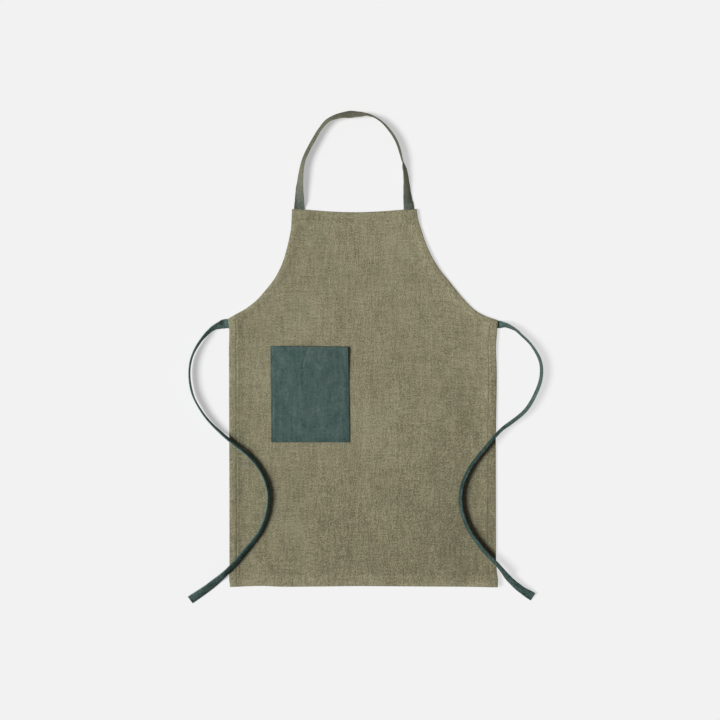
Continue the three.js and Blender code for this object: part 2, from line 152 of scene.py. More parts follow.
floor_mesh = bpy.data.meshes.new("floor")
floor_mesh.from_pydata(
    [(x * FLOOR_REACH, y * FLOOR_REACH, -FLOOR_DROP) for x, y in ((-1, -1), (1, -1), (1, 1), (-1, 1))],
    [],
    [(0, 1, 2, 3)],
)
floor = placed("floor", floor_mesh)
floor_paint = bpy.data.materials.new("pale_floor")
floor_paint.use_nodes = True
tree = floor_paint.node_tree
tree.nodes.clear()
floor_x = put(tree, "ShaderNodeTexCoord").outputs["Object"]
floor_x = put(tree, "ShaderNodeSeparateXYZ", {0: floor_x}).outputs["X"]
# Painted light: part of the floor's brightness is its own glow, more towards the right, so shadows on
# it are lighter there
glowing = ramp(tree, floor_x, *GLOW_ACROSS, *FLOOR_GLOW)
lit_tone = calc(tree, "SUBTRACT", FLOOR_TONE, glowing)
matt = put(tree, "ShaderNodeBsdfDiffuse", {"Color": lit_tone})
glow = put(tree, "ShaderNodeEmission", {"Color": (1, 1, 1, 1), "Strength": glowing})
lit = put(tree, "ShaderNodeAddShader", {0: matt.outputs[0], 1: glow.outputs[0]})
clear = put(tree, "ShaderNodeBsdfTransparent")
from_below = put(tree, "ShaderNodeNewGeometry").outputs["Backfacing"]
one_sided = put(
    tree, "ShaderNodeMixShader", {0: from_below, 1: lit.outputs[0], 2: clear.outputs[0]}
)
put(tree, "ShaderNodeOutputMaterial", {"Surface": one_sided.outputs[0]})
floor.data.materials.append(floor_paint)
floor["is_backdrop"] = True

# Body panel
# One piece of khaki melange canvas, cut in the shape of bib and body. All its edges are turned
# onto the back and sewn down with a lockstitch, so it is two layers thick along them.
MM = 0.001
CLOTH = 1.0
TAPE = 1.8
CLEAR = 0.3
APRON_LENGTH = 606
TOP = APRON_LENGTH / 2
BODY_WIDTH = 429
BIB_WIDTH = 200
BIB_SHIFT = -14
BIB_DROOP = 5
DROOP_CURVE = 1.5
ARMHOLE_DEPTH = 175.5
WAIST_SKEW = 2.9
CORNER_LIFT = 5
SEAT_MARGIN = 1.2
SEAT_FALL = 14
NECK_WIDTH = 17
NECK_INSET = 3.5
NECK_TUCK = 15
TIE_WIDTH = 15
TIE_DROP = 0.8
TIE_TUCK = 11
END_FADE = 149.5
FOLD_ROUND = 1.5
THIN_EDGE = 0.03
HEM_EASE = (0.6, 12.0)
HEM_CROWN = 0.45
DENT_WIDTH = 1.15
BACK_DENT = 0.3
PUCKER_REACH = 4.5
EDGE_CURL = (1.7, 24)
STEEPEST = 2.2
FAR = 99.0
NET = 97
NET_SHIFT = 500
STITCH_LENGTH = 2.5
STITCH_PITCH = 3.1
THREAD = 0.27
SEAM_END = 2
STRAP_SEAM = 2
BIB_EDGE_SEAM = 2.5

# Columns: share of the way down, and of the way out from bib to waist on the left and right
ARMHOLE = np.array(
    [
        (0.0, 0.0, 0.0),
        (0.1, 0.006, 0.022),
        (0.19, 0.018, 0.06),
        (0.28, 0.048, 0.1),
        (0.37, 0.086, 0.15),
        (0.46, 0.131, 0.213),
        (0.55, 0.194, 0.292),
        (0.64, 0.28, 0.392),
        (0.73, 0.4, 0.49),
        (0.83, 0.553, 0.607),
        (0.91, 0.727, 0.722),
        (0.96, 0.878, 0.844),
        (1.0, 1.0, 1.0),
    ]
)
# Columns: share of the way from waist to bottom hem, and how far the left and right edge stand
# out, as shares of the body's width
SIDES = np.array(
    [
        (0.0, 0.0037, 0.005),
        (0.05, 0.0, 0.0005),
        (0.1, 0.0011, -0.0026),
        (0.2, 0.001, 0.0),
        (0.45, 0.0002, -0.0034),
        (0.7, -0.0006, -0.0034),
        (0.92, -0.0006, -0.002),
        (0.97, 0.0, 0.0034),
        (1.0, -0.003, 0.003),
    ]
)
# Columns: share of the way across the bottom hem, and how far it stands up, in lengths
BOTTOM = np.array(
    [
        (0.0, 0.0),
        (0.12, 0.0026),
        (0.19, 0.0006),
        (0.34, 0.0011),
        (0.49, 0.0022),
        (0.62, 0.0016),
        (0.81, 0.0008),
        (1.0, 0.0),
    ]
)
# Columns: place across and up, reach, in widths and lengths, and height of each curl
CURLS = np.array(
    [
        (0.5, -0.5, 0.13, 1.5),
        (-0.5, -0.5, 0.07, 0.3),
        (0.5, 0.15, 0.1, 0.4),
        (0.27, 0.39, 0.14, 0.5),
    ]
)
# Columns: X and Y of each small pucker by the left hem, its half width and half length, height
PUCKERS = np.array(
    [
        (-196.6, -282.4, 1.5, 4.6, -1.0),
        (-192.2, -229.0, 1.6, 5.0, 0.7),
        (-188.8, -229.0, 1.4, 4.2, -0.6),
    ]
)
# Columns: height, length over width, width and seed of the waves in the cloth, and of those
# that the stitching draws along it
CLOTH_WAVES = [(0.55, 0.7, 64, 3), (0.3, 0.8, 27, 4)]
SEAM_WAVES = [(0.9, 1.0, 8.5, 5), (0.5, 1.0, 4.6, 6)]
# Columns: width of the turned layer, distance from the fold to the stitching, depth of its dent
SIDE_HEM = (13.6, 11.9, 0.75)
ARMHOLE_HEM = (8.0, 6.4, 0.2)
BOTTOM_HEM = (16.0, 14.2, 0.3)
BIB_HEM = (16.0, 14.2, 0.2)
# Columns: place of each ring of a stitch along it, as a share of its length, and the ring's
# radius and height, as shares of the thread's radius
STITCH_RINGS = np.array([(-0.5, 0.5, -1.3), (-0.27, 1.0, 0.45), (0.27, 1.0, 0.45), (0.5, 0.5, -1.3)])
# Distances from an edge at which the grid of the panel has its lines
HEM_STEPS = np.array(
    [0, 0.12, 0.45, 1, 2.2, 4, 6, 7.6, 8.6, 9.6, 10.5, 11.2, 11.9, 12.6, 13.3, 14.1]
    + [14.9, 15.7, 16.5, 17.8, 19.6, 22, 25, 28]
)


def blend_in(t):
    """0 up to 0, 1 from 1 on, and t squared times (3 less 2 t) between."""
    t = np.clip(t, 0, 1)
    return t * t * (3 - 2 * t)


def bell(off, reach):
    """e to the power of less the square of off over reach: 1 where off is 0, and 0 far off."""
    return np.exp(-((off / reach) ** 2))


def rounded(share):
    """Height, 0 to 1, of a quarter circle at a share of the way in from its edge."""
    return np.sqrt(1 - (1 - np.clip(share, 0, 1)) ** 2)


def along_table(table, column, at):
    """A smooth curve through a column of a table, at places of its first column: straight from
    row to row, plus t (1 - t) times what the slopes through the rows on each side ask for."""
    key, value = table[:, 0], table[:, column]
    rows = np.arange(len(key))
    before, after = np.maximum(rows - 1, 0), np.minimum(rows + 1, len(key) - 1)
    slope = (value[after] - value[before]) / (key[after] - key[before])
    i = np.clip(np.searchsorted(key, at, side="right") - 1, 0, len(key) - 2)
    span = key[i + 1] - key[i]
    t = np.clip((at - key[i]) / span, 0, 1)
    rise = value[i + 1] - value[i]
    bend = (1 - t) * (slope[i] * span - rise) - t * (slope[i + 1] * span - rise)
    return value[i] + rise * t + t * (1 - t) * bend


def waist_y(side):
    return TOP - ARMHOLE_DEPTH - (WAIST_SKEW if side > 0 else 0)


def edge_x(y, side):
    """X of the panel's edge at height y: the body's edge up to the waist, and above it the
    armhole's curve between waist corner and bib corner. side is -1 for left and 1 for right."""
    column = 1 if side < 0 else 2
    waist = waist_y(side)
    down = np.clip((waist - y) / (waist + TOP), 0, 1)
    body = side * BODY_WIDTH * (0.5 + along_table(SIDES, column, down))
    bib = BIB_SHIFT + side * BIB_WIDTH / 2
    share = along_table(ARMHOLE, column, np.clip((TOP - y) / (TOP - waist), 0, 1))
    return np.where(y <= waist, body, bib + (body - bib) * share)


def end_shift(x, y):
    """How far the cloth is shifted along Y near its ends: the bib's top edge sags between its
    corners as a power of a sine, and the bottom hem waves as its table says."""
    left, right = edge_x(y, -1), edge_x(y, 1)
    across = np.clip((x - left) / (right - left), 0, 1)
    sag = -BIB_DROOP * np.sin(np.pi * across) ** DROOP_CURVE
    wave = APRON_LENGTH * along_table(BOTTOM, 1, across)
    return blend_in((np.abs(y) - waist_y(-1)) / END_FADE) * np.where(y > 0, sag, wave)


def away_from(x, y, line):
    """Distance of points from a line of short straight pieces: the least of the distances to
    the nearest point of each piece."""
    start, way = line[:-1], np.diff(line, axis=0)
    x, y = np.asarray(x)[..., None], np.asarray(y)[..., None]
    t = ((x - start[:, 0]) * way[:, 0] + (y - start[:, 1]) * way[:, 1]) / (way**2).sum(1)
    t = np.clip(t, 0, 1)
    across = x - start[:, 0] - t * way[:, 0]
    up = y - start[:, 1] - t * way[:, 1]
    return np.sqrt((across**2 + up**2).min(-1))


def edge_line(side, part):
    """The fold of a side hem or an armhole hem as points from below to above. Each runs on
    straight past the waist corner, so that the two hems cross there."""
    waist = waist_y(side)
    if part == "side":
        y = np.append(np.linspace(-TOP, waist, 60), waist + 40)
        return np.stack([edge_x(np.minimum(y, waist), side), y], 1)
    y = np.linspace(waist + 0.01, TOP, 90)
    line = np.stack([edge_x(y, side), y], 1)
    past = line[0] + (line[0] - line[3]) * 8
    return np.vstack([past, line])


SIDE_LINES = [edge_line(side, "side") for side in (-1, 1)]
ARMHOLE_LINES = [edge_line(side, "armhole") for side in (-1, 1)]


def ripple(x, y, size, seed):
    """Smooth random waves from 0 to 1: random heights at the corners of a square net of that
    size, blended across each square in both directions."""
    net = np.random.default_rng(seed).random((NET, NET))
    u, v = x / size + NET_SHIFT, y / size + NET_SHIFT
    i, j = np.floor(u).astype(int), np.floor(v).astype(int)
    s, t = blend_in(u - i), blend_in(v - j)
    i, j, k, m = i % NET, j % NET, (i + 1) % NET, (j + 1) % NET
    low = net[i, j] * (1 - s) + net[k, j] * s
    high = net[i, m] * (1 - s) + net[k, m] * s
    return low * (1 - t) + high * t


def waves(x, y, table):
    """Ripples added up, each as its row of a table says."""
    return sum(height * ripple(x, y * long, size, seed) for height, long, size, seed in table)


def lift(x, y):
    """Height at which the cloth stands off the floor: the tape's thickness over the sewn ends
    of strap and ties, falling off round them, each curl as a smooth hill, and the right edge,
    which curls up a little along its whole length but not over the tie."""

    def fall(past):
        return 1 - blend_in((past - SEAT_MARGIN) / SEAT_FALL)

    def near_tie(side):
        return fall(np.abs(y - waist_y(side) + TIE_DROP + TIE_WIDTH / 2) - TIE_WIDTH / 2)

    highest = np.zeros_like(x)
    for side in (-1, 1):
        inset = side * (edge_x(y, side) - x)
        tie = fall(inset - TIE_TUCK) * near_tie(side)
        strap = fall(inset - NECK_INSET - NECK_WIDTH) * fall(TOP - NECK_TUCK - y)
        highest = np.maximum(highest, (TAPE + CLEAR) * np.maximum(tie, strap))
    for across, up, reach, height in CURLS:
        away = np.hypot(x - across * BODY_WIDTH, y - up * APRON_LENGTH)
        highest = highest + CORNER_LIFT * height * (1 - blend_in(away / (reach * BODY_WIDTH)))
    right = np.minimum(away_from(x, y, SIDE_LINES[1]), away_from(x, y, ARMHOLE_LINES[1]))
    curl = EDGE_CURL[0] * (1 - blend_in(right / EDGE_CURL[1]))
    return highest + curl * (1 - near_tie(1))


def panel_surface(x, y):
    """Heights of the front and the back of the panel at places on its cut, and how far they are
    from the nearest fold and from the nearest stitching. The front is the cloth, plus the turned
    layer over each hem with its swell, a parabola across it, less a rounded dent along the
    stitching, plus small waves. Towards a fold both close in on their middle as a half circle."""
    hems = [(away_from(x, y, line), SIDE_HEM) for line in SIDE_LINES]
    hems += [(away_from(x, y, line), ARMHOLE_HEM) for line in ARMHOLE_LINES]
    hems += [(np.abs(y + TOP), BOTTOM_HEM), (np.abs(TOP - y), BIB_HEM)]
    raised, turned, dent, pucker = (np.zeros_like(x) for _ in range(4))
    fold, seam = (np.full_like(x, FAR) for _ in range(2))
    for away, (width, sewn, depth) in hems:
        raised = np.maximum(raised, 1 - blend_in((away - width + HEM_EASE[0]) / HEM_EASE[1]))
        turned = np.maximum(turned, (away < width).astype(float))
        dent = np.maximum(dent, depth * bell(away - sewn, DENT_WIDTH))
        pucker = np.maximum(pucker, depth * bell(away - sewn, PUCKER_REACH))
        fold = np.minimum(fold, away)
        seam = np.minimum(seam, np.abs(away - sewn))
    crown = HEM_CROWN * np.clip(1 - (2 * fold / SIDE_HEM[1] - 1) ** 2, 0, 1)
    wave = waves(x, y, CLOTH_WAVES) + pucker * waves(x, y, SEAM_WAVES)
    for middle_x, middle_y, wide, long, height in PUCKERS:
        away = ((x - middle_x) / wide) ** 2 + ((y - middle_y) / long) ** 2
        wave = wave + height * np.exp(-away)
    base = lift(x, y) + wave
    front = base + CLOTH * (1 + raised) - dent + crown
    back = base + CLOTH * (raised - turned) + dent * BACK_DENT
    closing = np.maximum(rounded(fold / FOLD_ROUND), THIN_EDGE)
    middle, half = (front + back) / 2, (front - back) / 2 * closing
    return middle + half, middle - half, fold, seam


def panel_top(x, y):
    """Height of the panel's front at a place on the floor, or 0 beside the panel."""
    flat_y = y - end_shift(x, y)
    inside = (x > edge_x(flat_y, -1)) & (x < edge_x(flat_y, 1)) & (np.abs(flat_y) < TOP)
    return np.where(inside, panel_surface(x, flat_y)[0], 0)


def add_piece(name, points, faces, values=(), coordinates=None):
    """A new object from points in millimetres. values are numbers kept for each point, and
    coordinates the pattern's place in metres for each point."""
    mesh = bpy.data.meshes.new(name)
    mesh.from_pydata((points * MM).tolist(), [], faces if isinstance(faces, list) else faces.tolist())
    mesh.polygons.foreach_set("use_smooth", np.ones(len(mesh.polygons), bool))
    for title, numbers in dict(values).items():
        kept = mesh.attributes.new(title, "FLOAT", "POINT")
        kept.data.foreach_set("value", np.asarray(numbers, np.float32).ravel())
    if coordinates is not None:
        corner = np.empty(len(mesh.loops), np.int32)
        mesh.loops.foreach_get("vertex_index", corner)
        laid = mesh.uv_layers.new(name="cloth_uv")
        laid.data.foreach_set("uv", coordinates[corner].astype(np.float32).ravel())
    mesh.update()
    made = placed(name, mesh)
    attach(made, "root")
    return made


def closed_sheet(front, back):
    """Points and faces of a sheet between two grids of rows by columns, closed round its rim.
    A face joins each point with its neighbours along the row and the column."""
    rows, columns = front.shape[:2]
    index = np.arange(rows * columns).reshape(rows, columns)
    square = [index[:-1, :-1], index[:-1, 1:], index[1:, 1:], index[1:, :-1]]
    upper = np.stack(square, -1).reshape(-1, 4)
    lower = upper[:, ::-1] + rows * columns
    rim = np.concatenate([index[0], index[1:, -1], index[-1, -2::-1], index[-2:0:-1, 0]])
    onward = np.roll(rim, -1)
    below = rows * columns
    wall = np.stack([rim, rim + below, onward + below, onward], -1)
    points = np.concatenate([front.reshape(-1, 3), back.reshape(-1, 3)])
    return points, np.concatenate([upper, lower, wall])


def unit(ways):
    """Directions, each made one long."""
    return ways / np.linalg.norm(ways, axis=1, keepdims=True)


def stitches(centres, ways, normals):
    """Points and faces of a row of stitches: each a thread of four five-sided rings along its
    way, thick in the middle, with both ends bent down into the cloth."""
    ways = unit(ways)
    aside = unit(np.cross(ways, normals))
    up = np.cross(aside, ways)
    along, thick, rise = STITCH_RINGS.T * np.array([[STITCH_LENGTH], [THREAD], [THREAD]])
    turn = np.arange(5) * 2 * np.pi / 5
    ring = centres[:, None, None] + ways[:, None, None] * along[:, None, None]
    ring = ring + up[:, None, None] * (rise[:, None] + thick[:, None] * np.cos(turn))[..., None]
    ring = ring + aside[:, None, None] * (thick[:, None] * np.sin(turn))[..., None]
    start = np.arange(len(centres))[:, None, None] * 20
    k = np.arange(3)[None, :, None] * 5
    c = np.arange(5)[None, None, :]
    d = (c + 1) % 5
    walls = np.stack([start + k + c, start + k + d, start + k + 5 + d, start + k + 5 + c], -1)
    ends = np.arange(len(centres))[:, None] * 20
    first = (ends + np.arange(4, -1, -1)).tolist()
    last = (ends + 15 + np.arange(5)).tolist()
    return ring.reshape(-1, 3), walls.reshape(-1, 4).tolist() + first + last


def joined(parts):
    """Points and faces of several parts as those of one."""
    faces, count = [], 0
    for points, walls in parts:
        faces += [[i + count for i in wall] for wall in walls]
        count += len(points)
    return np.concatenate([points for points, _ in parts]), faces


def gone_along(line):
    """How far each point of a line is from its start, along the line."""
    return np.concatenate([[0], np.cumsum(np.linalg.norm(np.diff(line, axis=0), axis=1))])


def read_at(at, gone, rows):
    """Rows of a table that belong to certain distances, read at others between them."""
    return np.stack([np.interp(at, gone, column) for column in rows.T], 1)


def even_points(line, pitch):
    """Points at even steps along a line, and the line's direction at each."""
    gone = gone_along(line)
    count = max(int(gone[-1] / pitch), 1)
    at = (np.arange(count) + 0.5) * gone[-1] / count
    return read_at(at, gone, line), read_at(at + 0.5, gone, line) - read_at(at - 0.5, gone, line)


def inset_line(line, inset, side):
    """A line moved square to itself towards the panel's middle, side as in edge_x."""
    way = unit(np.gradient(line, axis=0))
    return line + np.stack([-side * way[:, 1], side * way[:, 0]], 1) * inset


body_rows = np.concatenate(
    [
        -TOP + HEM_STEPS,
        np.arange(-TOP + 31.2, waist_y(1) - 10, 3.6),
        np.arange(waist_y(1) - 9, waist_y(1) - 0.5, 1.6),
        [waist_y(1), (waist_y(1) + waist_y(-1)) / 2, waist_y(-1)],
        np.arange(waist_y(-1) + 1.2, waist_y(-1) + 26, 1.5),
        np.arange(waist_y(-1) + 28, TOP - 30, 2.7),
        TOP - HEM_STEPS[::-1],
    ]
)
row_y = body_rows[:, None]
grid_x = []
for side in (-1, 1):
    lean = (edge_x(row_y + 1, side) - edge_x(row_y, side)) * (row_y >= waist_y(side))
    slant = np.minimum(np.hypot(1, lean), STEEPEST)
    grid_x.append(edge_x(row_y, side) - side * HEM_STEPS * slant)
shares = np.linspace(0, 1, 97)[1:-1]
between = grid_x[0][:, -1:] + (grid_x[1][:, -1:] - grid_x[0][:, -1:]) * shares
panel_x = np.concatenate([grid_x[0], between, grid_x[1][:, ::-1]], 1)
panel_y = np.broadcast_to(row_y, panel_x.shape)
front_z, back_z, fold_away, seam_away = panel_surface(panel_x, panel_y)
laid_y = panel_y + end_shift(panel_x, panel_y)
panel_points, panel_faces = closed_sheet(
    np.stack([panel_x, laid_y, front_z], -1), np.stack([panel_x, laid_y, back_z], -1)
)
panel_cloth = add_piece(
    "panel_cloth",
    panel_points,
    panel_faces,
    {"fold": np.tile(fold_away.ravel(), 2), "seam": np.tile(seam_away.ravel(), 2)},
)

seam_lines = []
for side, line in zip((-1, 1), SIDE_LINES):
    seam_lines.append(inset_line(line[:-1], SIDE_HEM[1], side)[1:])
for side, line in zip((-1, 1), ARMHOLE_LINES):
    seam_lines.append(inset_line(line[1:], ARMHOLE_HEM[1], side)[2:-1])
for y in (-TOP + BOTTOM_HEM[1], TOP - BIB_HEM[1]):
    left, right = (edge_x(np.array(y), side) for side in (-1, 1))
    x = np.linspace(left + SEAM_END, right - SEAM_END, 200)
    seam_lines.append(np.stack([x, np.full_like(x, y)], 1))
high, low = TOP - BIB_EDGE_SEAM, TOP - BIB_HEM[1]
for side in (-1, 1):
    outer = BIB_SHIFT + side * (BIB_WIDTH / 2 - NECK_INSET - STRAP_SEAM)
    inner = outer - side * (NECK_WIDTH - 2 * STRAP_SEAM)
    seam_lines.append(np.array([(outer, high), (inner, high)]))
    seam_lines += [np.array([(x, high), (x, low)]) for x in (inner, outer)]
panel_stitches = []
for line in seam_lines:
    place, way = even_points(line, STITCH_PITCH)
    for layer, turned in ((0, 1), (1, -1)):
        z = panel_surface(place[:, 0], place[:, 1])[layer]
        laid = place[:, 1] + end_shift(place[:, 0], place[:, 1])
        centres = np.stack([place[:, 0], laid, z], 1)
        ways = np.column_stack([way, np.zeros(len(way))])
        normals = np.tile([0.0, 0.0, turned], (len(way), 1))
        panel_stitches.append(stitches(centres, ways, normals))
panel_stitching = add_piece("panel_stitching", *joined(panel_stitches))


def new_group(name, inputs, outputs):
    """An empty shader node group with named number, vector or colour sockets."""
    group = bpy.data.node_groups.new(name, "ShaderNodeTree")
    for title, kind in inputs:
        group.interface.new_socket(title, in_out="INPUT", socket_type=kind)
    for title in outputs:
        group.interface.new_socket(title, in_out="OUTPUT", socket_type="NodeSocketFloat")
    return group, group.nodes.new("NodeGroupInput").outputs, group.nodes.new("NodeGroupOutput").inputs


THREAD_SWAY = 0.0011
SWAYS_A_METRE = 70
CROSSING = 2.5

# Threads of a plain weave: which thread lies on top, how high it stands, and how dark or thick
# it was spun at that place
weave, given, result = new_group(
    "plain_weave",
    [
        ("Place", "NodeSocketVector"),
        ("Warp Gap", "NodeSocketFloat"),
        ("Weft Gap", "NodeSocketFloat"),
        ("Slub Length", "NodeSocketFloat"),
    ],
    ["Height", "Tone"],
)
sway = put(
    weave,
    "ShaderNodeTexNoise",
    {"Vector": given["Place"], "Scale": SWAYS_A_METRE, "Detail": 1},
)
sway = put(
    weave,
    "ShaderNodeVectorMath",
    {0: sway.outputs["Color"], 1: (THREAD_SWAY, THREAD_SWAY, 0.0), 2: given["Place"]},
    operation="MULTIPLY_ADD",
)
split = put(weave, "ShaderNodeSeparateXYZ", {0: sway.outputs[0]})
warp_at = calc(weave, "DIVIDE", split.outputs["X"], given["Warp Gap"])
weft_at = calc(weave, "DIVIDE", split.outputs["Y"], given["Weft Gap"])
warp_wave = calc(weave, "COSINE", calc(weave, "MULTIPLY", warp_at, np.pi))
weft_wave = calc(weave, "COSINE", calc(weave, "MULTIPLY", weft_at, np.pi))
over = calc(weave, "MULTIPLY", calc(weave, "MULTIPLY", warp_wave, weft_wave), CROSSING)
over = calc(weave, "MINIMUM", calc(weave, "MAXIMUM", over, -1), 1)
tones = []
for thread, run, offset in (
    (warp_at, split.outputs["Y"], 0.0),
    (weft_at, split.outputs["X"], 31.3),
):
    number = calc(weave, "MULTIPLY_ADD", calc(weave, "ROUND", thread), 3.7, offset)
    place = calc(weave, "DIVIDE", run, given["Slub Length"])
    place = put(weave, "ShaderNodeCombineXYZ", {"X": number, "Y": place, "Z": offset})
    spun = put(
        weave,
        "ShaderNodeTexNoise",
        {"Vector": place.outputs[0], "Scale": 1.0, "Detail": 2, "Roughness": 0.6},
    )
    tones.append(spun.outputs["Fac"])
share_over = calc(weave, "MULTIPLY_ADD", over, 0.5, 0.5)
tone = calc(weave, "SUBTRACT", tones[0], tones[1])
tone = calc(weave, "MULTIPLY_ADD", tone, share_over, tones[1])
warp_high = calc(weave, "MULTIPLY_ADD", over, 0.45, 0.55)
warp_high = calc(weave, "MULTIPLY", calc(weave, "ABSOLUTE", warp_wave), warp_high)
weft_high = calc(weave, "MULTIPLY_ADD", over, -0.45, 0.55)
weft_high = calc(weave, "MULTIPLY", calc(weave, "ABSOLUTE", weft_wave), weft_high)
height = calc(weave, "MAXIMUM", warp_high, weft_high)
height = calc(weave, "MULTIPLY", height, calc(weave, "MULTIPLY_ADD", tone, 0.7, 0.65))
weave.links.new(height, result["Height"])
weave.links.new(tone, result["Tone"])


def woven(tree, place, warp_gap, weft_gap, slub_length):
    """The height of the weave and the tone of its threads, about 0, for threads so far apart
    and slubs so long, in metres."""
    gaps = {"Warp Gap": warp_gap, "Weft Gap": weft_gap, "Slub Length": slub_length}
    cloth = put(tree, "ShaderNodeGroup", {"Place": place, **gaps}, node_tree=weave)
    return cloth.outputs["Height"], calc(tree, "SUBTRACT", cloth.outputs["Tone"], 0.5)


def mottle(tree, place, scale, stretch, detail=2):
    """Noise about 0, from about -0.25 to 0.25, with its grains stretched along each axis."""
    scaled = put(
        tree, "ShaderNodeVectorMath", {0: place, 1: stretch}, operation="MULTIPLY"
    ).outputs[0]
    noise = put(tree, "ShaderNodeTexNoise", {"Vector": scaled, "Scale": scale, "Detail": detail})
    return calc(tree, "SUBTRACT", noise.outputs["Fac"], 0.5)


def near_line(tree, name, width):
    """1 on a fold or seam that an attribute measures the distance to, falling to 0 at width."""
    away = put(tree, "ShaderNodeAttribute", attribute_name=name).outputs["Fac"]
    return ramp(tree, away, 0.0, width, 1.0, 0.0)


def mixed(tree, share, dark, light):
    """A colour between two, each a socket or a fixed colour."""
    colours = {0: share, 6: dark, 7: light}
    return put(tree, "ShaderNodeMix", colours, data_type="RGBA").outputs[2]


def tinted(tree, colour, *shares):
    """A colour with its red, green and blue each times a share."""
    return put(
        tree,
        "ShaderNodeMix",
        {0: 1.0, 6: colour, 7: (*shares, 1.0)},
        data_type="RGBA",
        blend_type="MULTIPLY",
    ).outputs[2]


def weighted(tree, start, *terms):
    """start plus each socket times its weight."""
    total = start
    for socket, weight in terms:
        total = calc(tree, "MULTIPLY_ADD", socket, weight, total)
    return total


def new_cloth(name, sheen):
    """A cloth material with its tree, its shader and the shader's own even settings."""
    material = bpy.data.materials.new(name)
    material.use_nodes = True
    shader = material.node_tree.nodes["Principled BSDF"]
    shader.inputs["Specular IOR Level"].default_value = 0.2
    shader.inputs["Sheen Weight"].default_value = sheen
    shader.inputs["Sheen Roughness"].default_value = 0.5
    return material, material.node_tree, shader


def finished(tree, shader, colour, rough, height, depth):
    """Joins colour, roughness and a relief of that depth in metres to the shader."""
    bump = put(tree, "ShaderNodeBump", {"Height": height, "Distance": depth, "Strength": 1.0})
    tree.links.new(bump.outputs[0], shader.inputs["Normal"])
    tree.links.new(colour, shader.inputs["Base Color"])
    tree.links.new(rough, shader.inputs["Roughness"])


melange, tree, shader = new_cloth("khaki_melange", 0.1)
place = put(tree, "ShaderNodeTexCoord").outputs["Object"]
weave_height, thread_tone = woven(tree, place, 0.00082, 0.00094, 0.014)
fleck = mottle(tree, place, 620, (1.0, 0.66, 1.0))
streak = mottle(tree, place, 330, (1.0, 0.13, 1.0))
bar = mottle(tree, place, 260, (0.12, 1.0, 1.0))
cloud = mottle(tree, place, 30, (1.0, 0.4, 1.0), 4)
fade = mottle(tree, place, 7, (1.0, 0.7, 1.0), 3)
# Painted shade: a darker line along each folded edge, where the rounded fold turns from the light
painted_fold_shade = near_line(tree, "fold", 1.4)
hem_band = near_line(tree, "fold", 13.0)
seam_line = near_line(tree, "seam", 1.6)
split = put(tree, "ShaderNodeSeparateXYZ", {0: place})
at_x, at_y = split.outputs["X"], split.outputs["Y"]
low_part = ramp(tree, at_y, 0.03, -0.27)
by_side = ramp(tree, calc(tree, "ABSOLUTE", at_x), 0.16, 0.19)
# Painted shade: a band darker beside the side seams, low on the body
painted_seam_shade = calc(tree, "MULTIPLY", low_part, near_line(tree, "seam", 9.0))
painted_seam_shade = calc(tree, "MULTIPLY", painted_seam_shade, by_side)
# Darker towards the bottom, and more so towards the right
lower_right_darkening = calc(tree, "MULTIPLY", low_part, weighted(tree, 0.55, (at_x, 1.2)))
below_bib = ramp(tree, at_y, 0.13, -0.05)
# Painted shade: the body below the bib darker on its right, away from the light, and more so on its
# right hem
painted_shade_right_side = calc(tree, "MULTIPLY", ramp(tree, at_x, 0.0, 0.18), below_bib)
painted_shade_right_hem = calc(tree, "MULTIPLY", painted_shade_right_side, hem_band)
painted_shade_right_hem = calc(tree, "MULTIPLY", painted_shade_right_hem, weighted(tree, 1.0, (low_part, -1.5)))
bottom_edge = ramp(tree, at_y, -0.281, -0.286)
# Painted shade: more darkening on the fold of the bottom hem
painted_bottom_fold_shade = calc(tree, "MULTIPLY", bottom_edge, painted_fold_shade)
light_share = weighted(
    tree,
    0.52,
    (thread_tone, 1.6),
    (fleck, 2.3),
    (streak, 0.8),
    (bar, 0.4),
    (cloud, 0.5),
    (fade, 0.3),
    (lower_right_darkening, -0.25),
    (painted_shade_right_side, -0.14),
    (painted_seam_shade, -0.14),
    (painted_shade_right_hem, -0.2),
    (bottom_edge, 0.15),
    (painted_bottom_fold_shade, -0.3),
    (painted_fold_shade, -0.2),
    (hem_band, 0.06),
    (seam_line, -0.08),
)
khaki = mixed(tree, light_share, shade(109, 104, 82), shade(168, 163, 134))
dyed = mottle(tree, place, 24, (1.0, 0.55, 1.0), 4)
green_share = weighted(tree, 0.45, (dyed, 1.3), (fleck, 1.1))
green_share = calc(tree, "MINIMUM", calc(tree, "MAXIMUM", green_share, 0), 1)
brown_khaki = tinted(tree, khaki, 1.035, 0.99, 0.97)
green_khaki = tinted(tree, khaki, 0.962, 1.008, 0.982)
khaki = mixed(tree, green_share, brown_khaki, green_khaki)
rough = weighted(tree, 0.88, (fleck, 0.2), (thread_tone, 0.15))
relief = weighted(tree, 0.0, (weave_height, 1.0), (fleck, 1.2), (streak, 0.7))
finished(tree, shader, khaki, rough, relief, 0.00028)
panel_cloth.data.materials.append(melange)
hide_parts("body_panel")


def sewing_thread(name, dark, light):
    """Matt spun thread, in places lighter and rougher."""
    thread, tree, shader = new_cloth(name, 0.2)
    place = put(tree, "ShaderNodeTexCoord").outputs["Object"]
    ply = mottle(tree, place, 900, (1.0, 1.0, 1.0))
    colour = mixed(tree, weighted(tree, 0.5, (ply, 2.0)), dark, light)
    finished(tree, shader, colour, weighted(tree, 0.7, (ply, 0.3)), ply, 0.0001)
    return thread


khaki_thread = sewing_thread("khaki_thread", shade(122, 118, 94), shade(158, 153, 128))
panel_stitching.data.materials.append(khaki_thread)

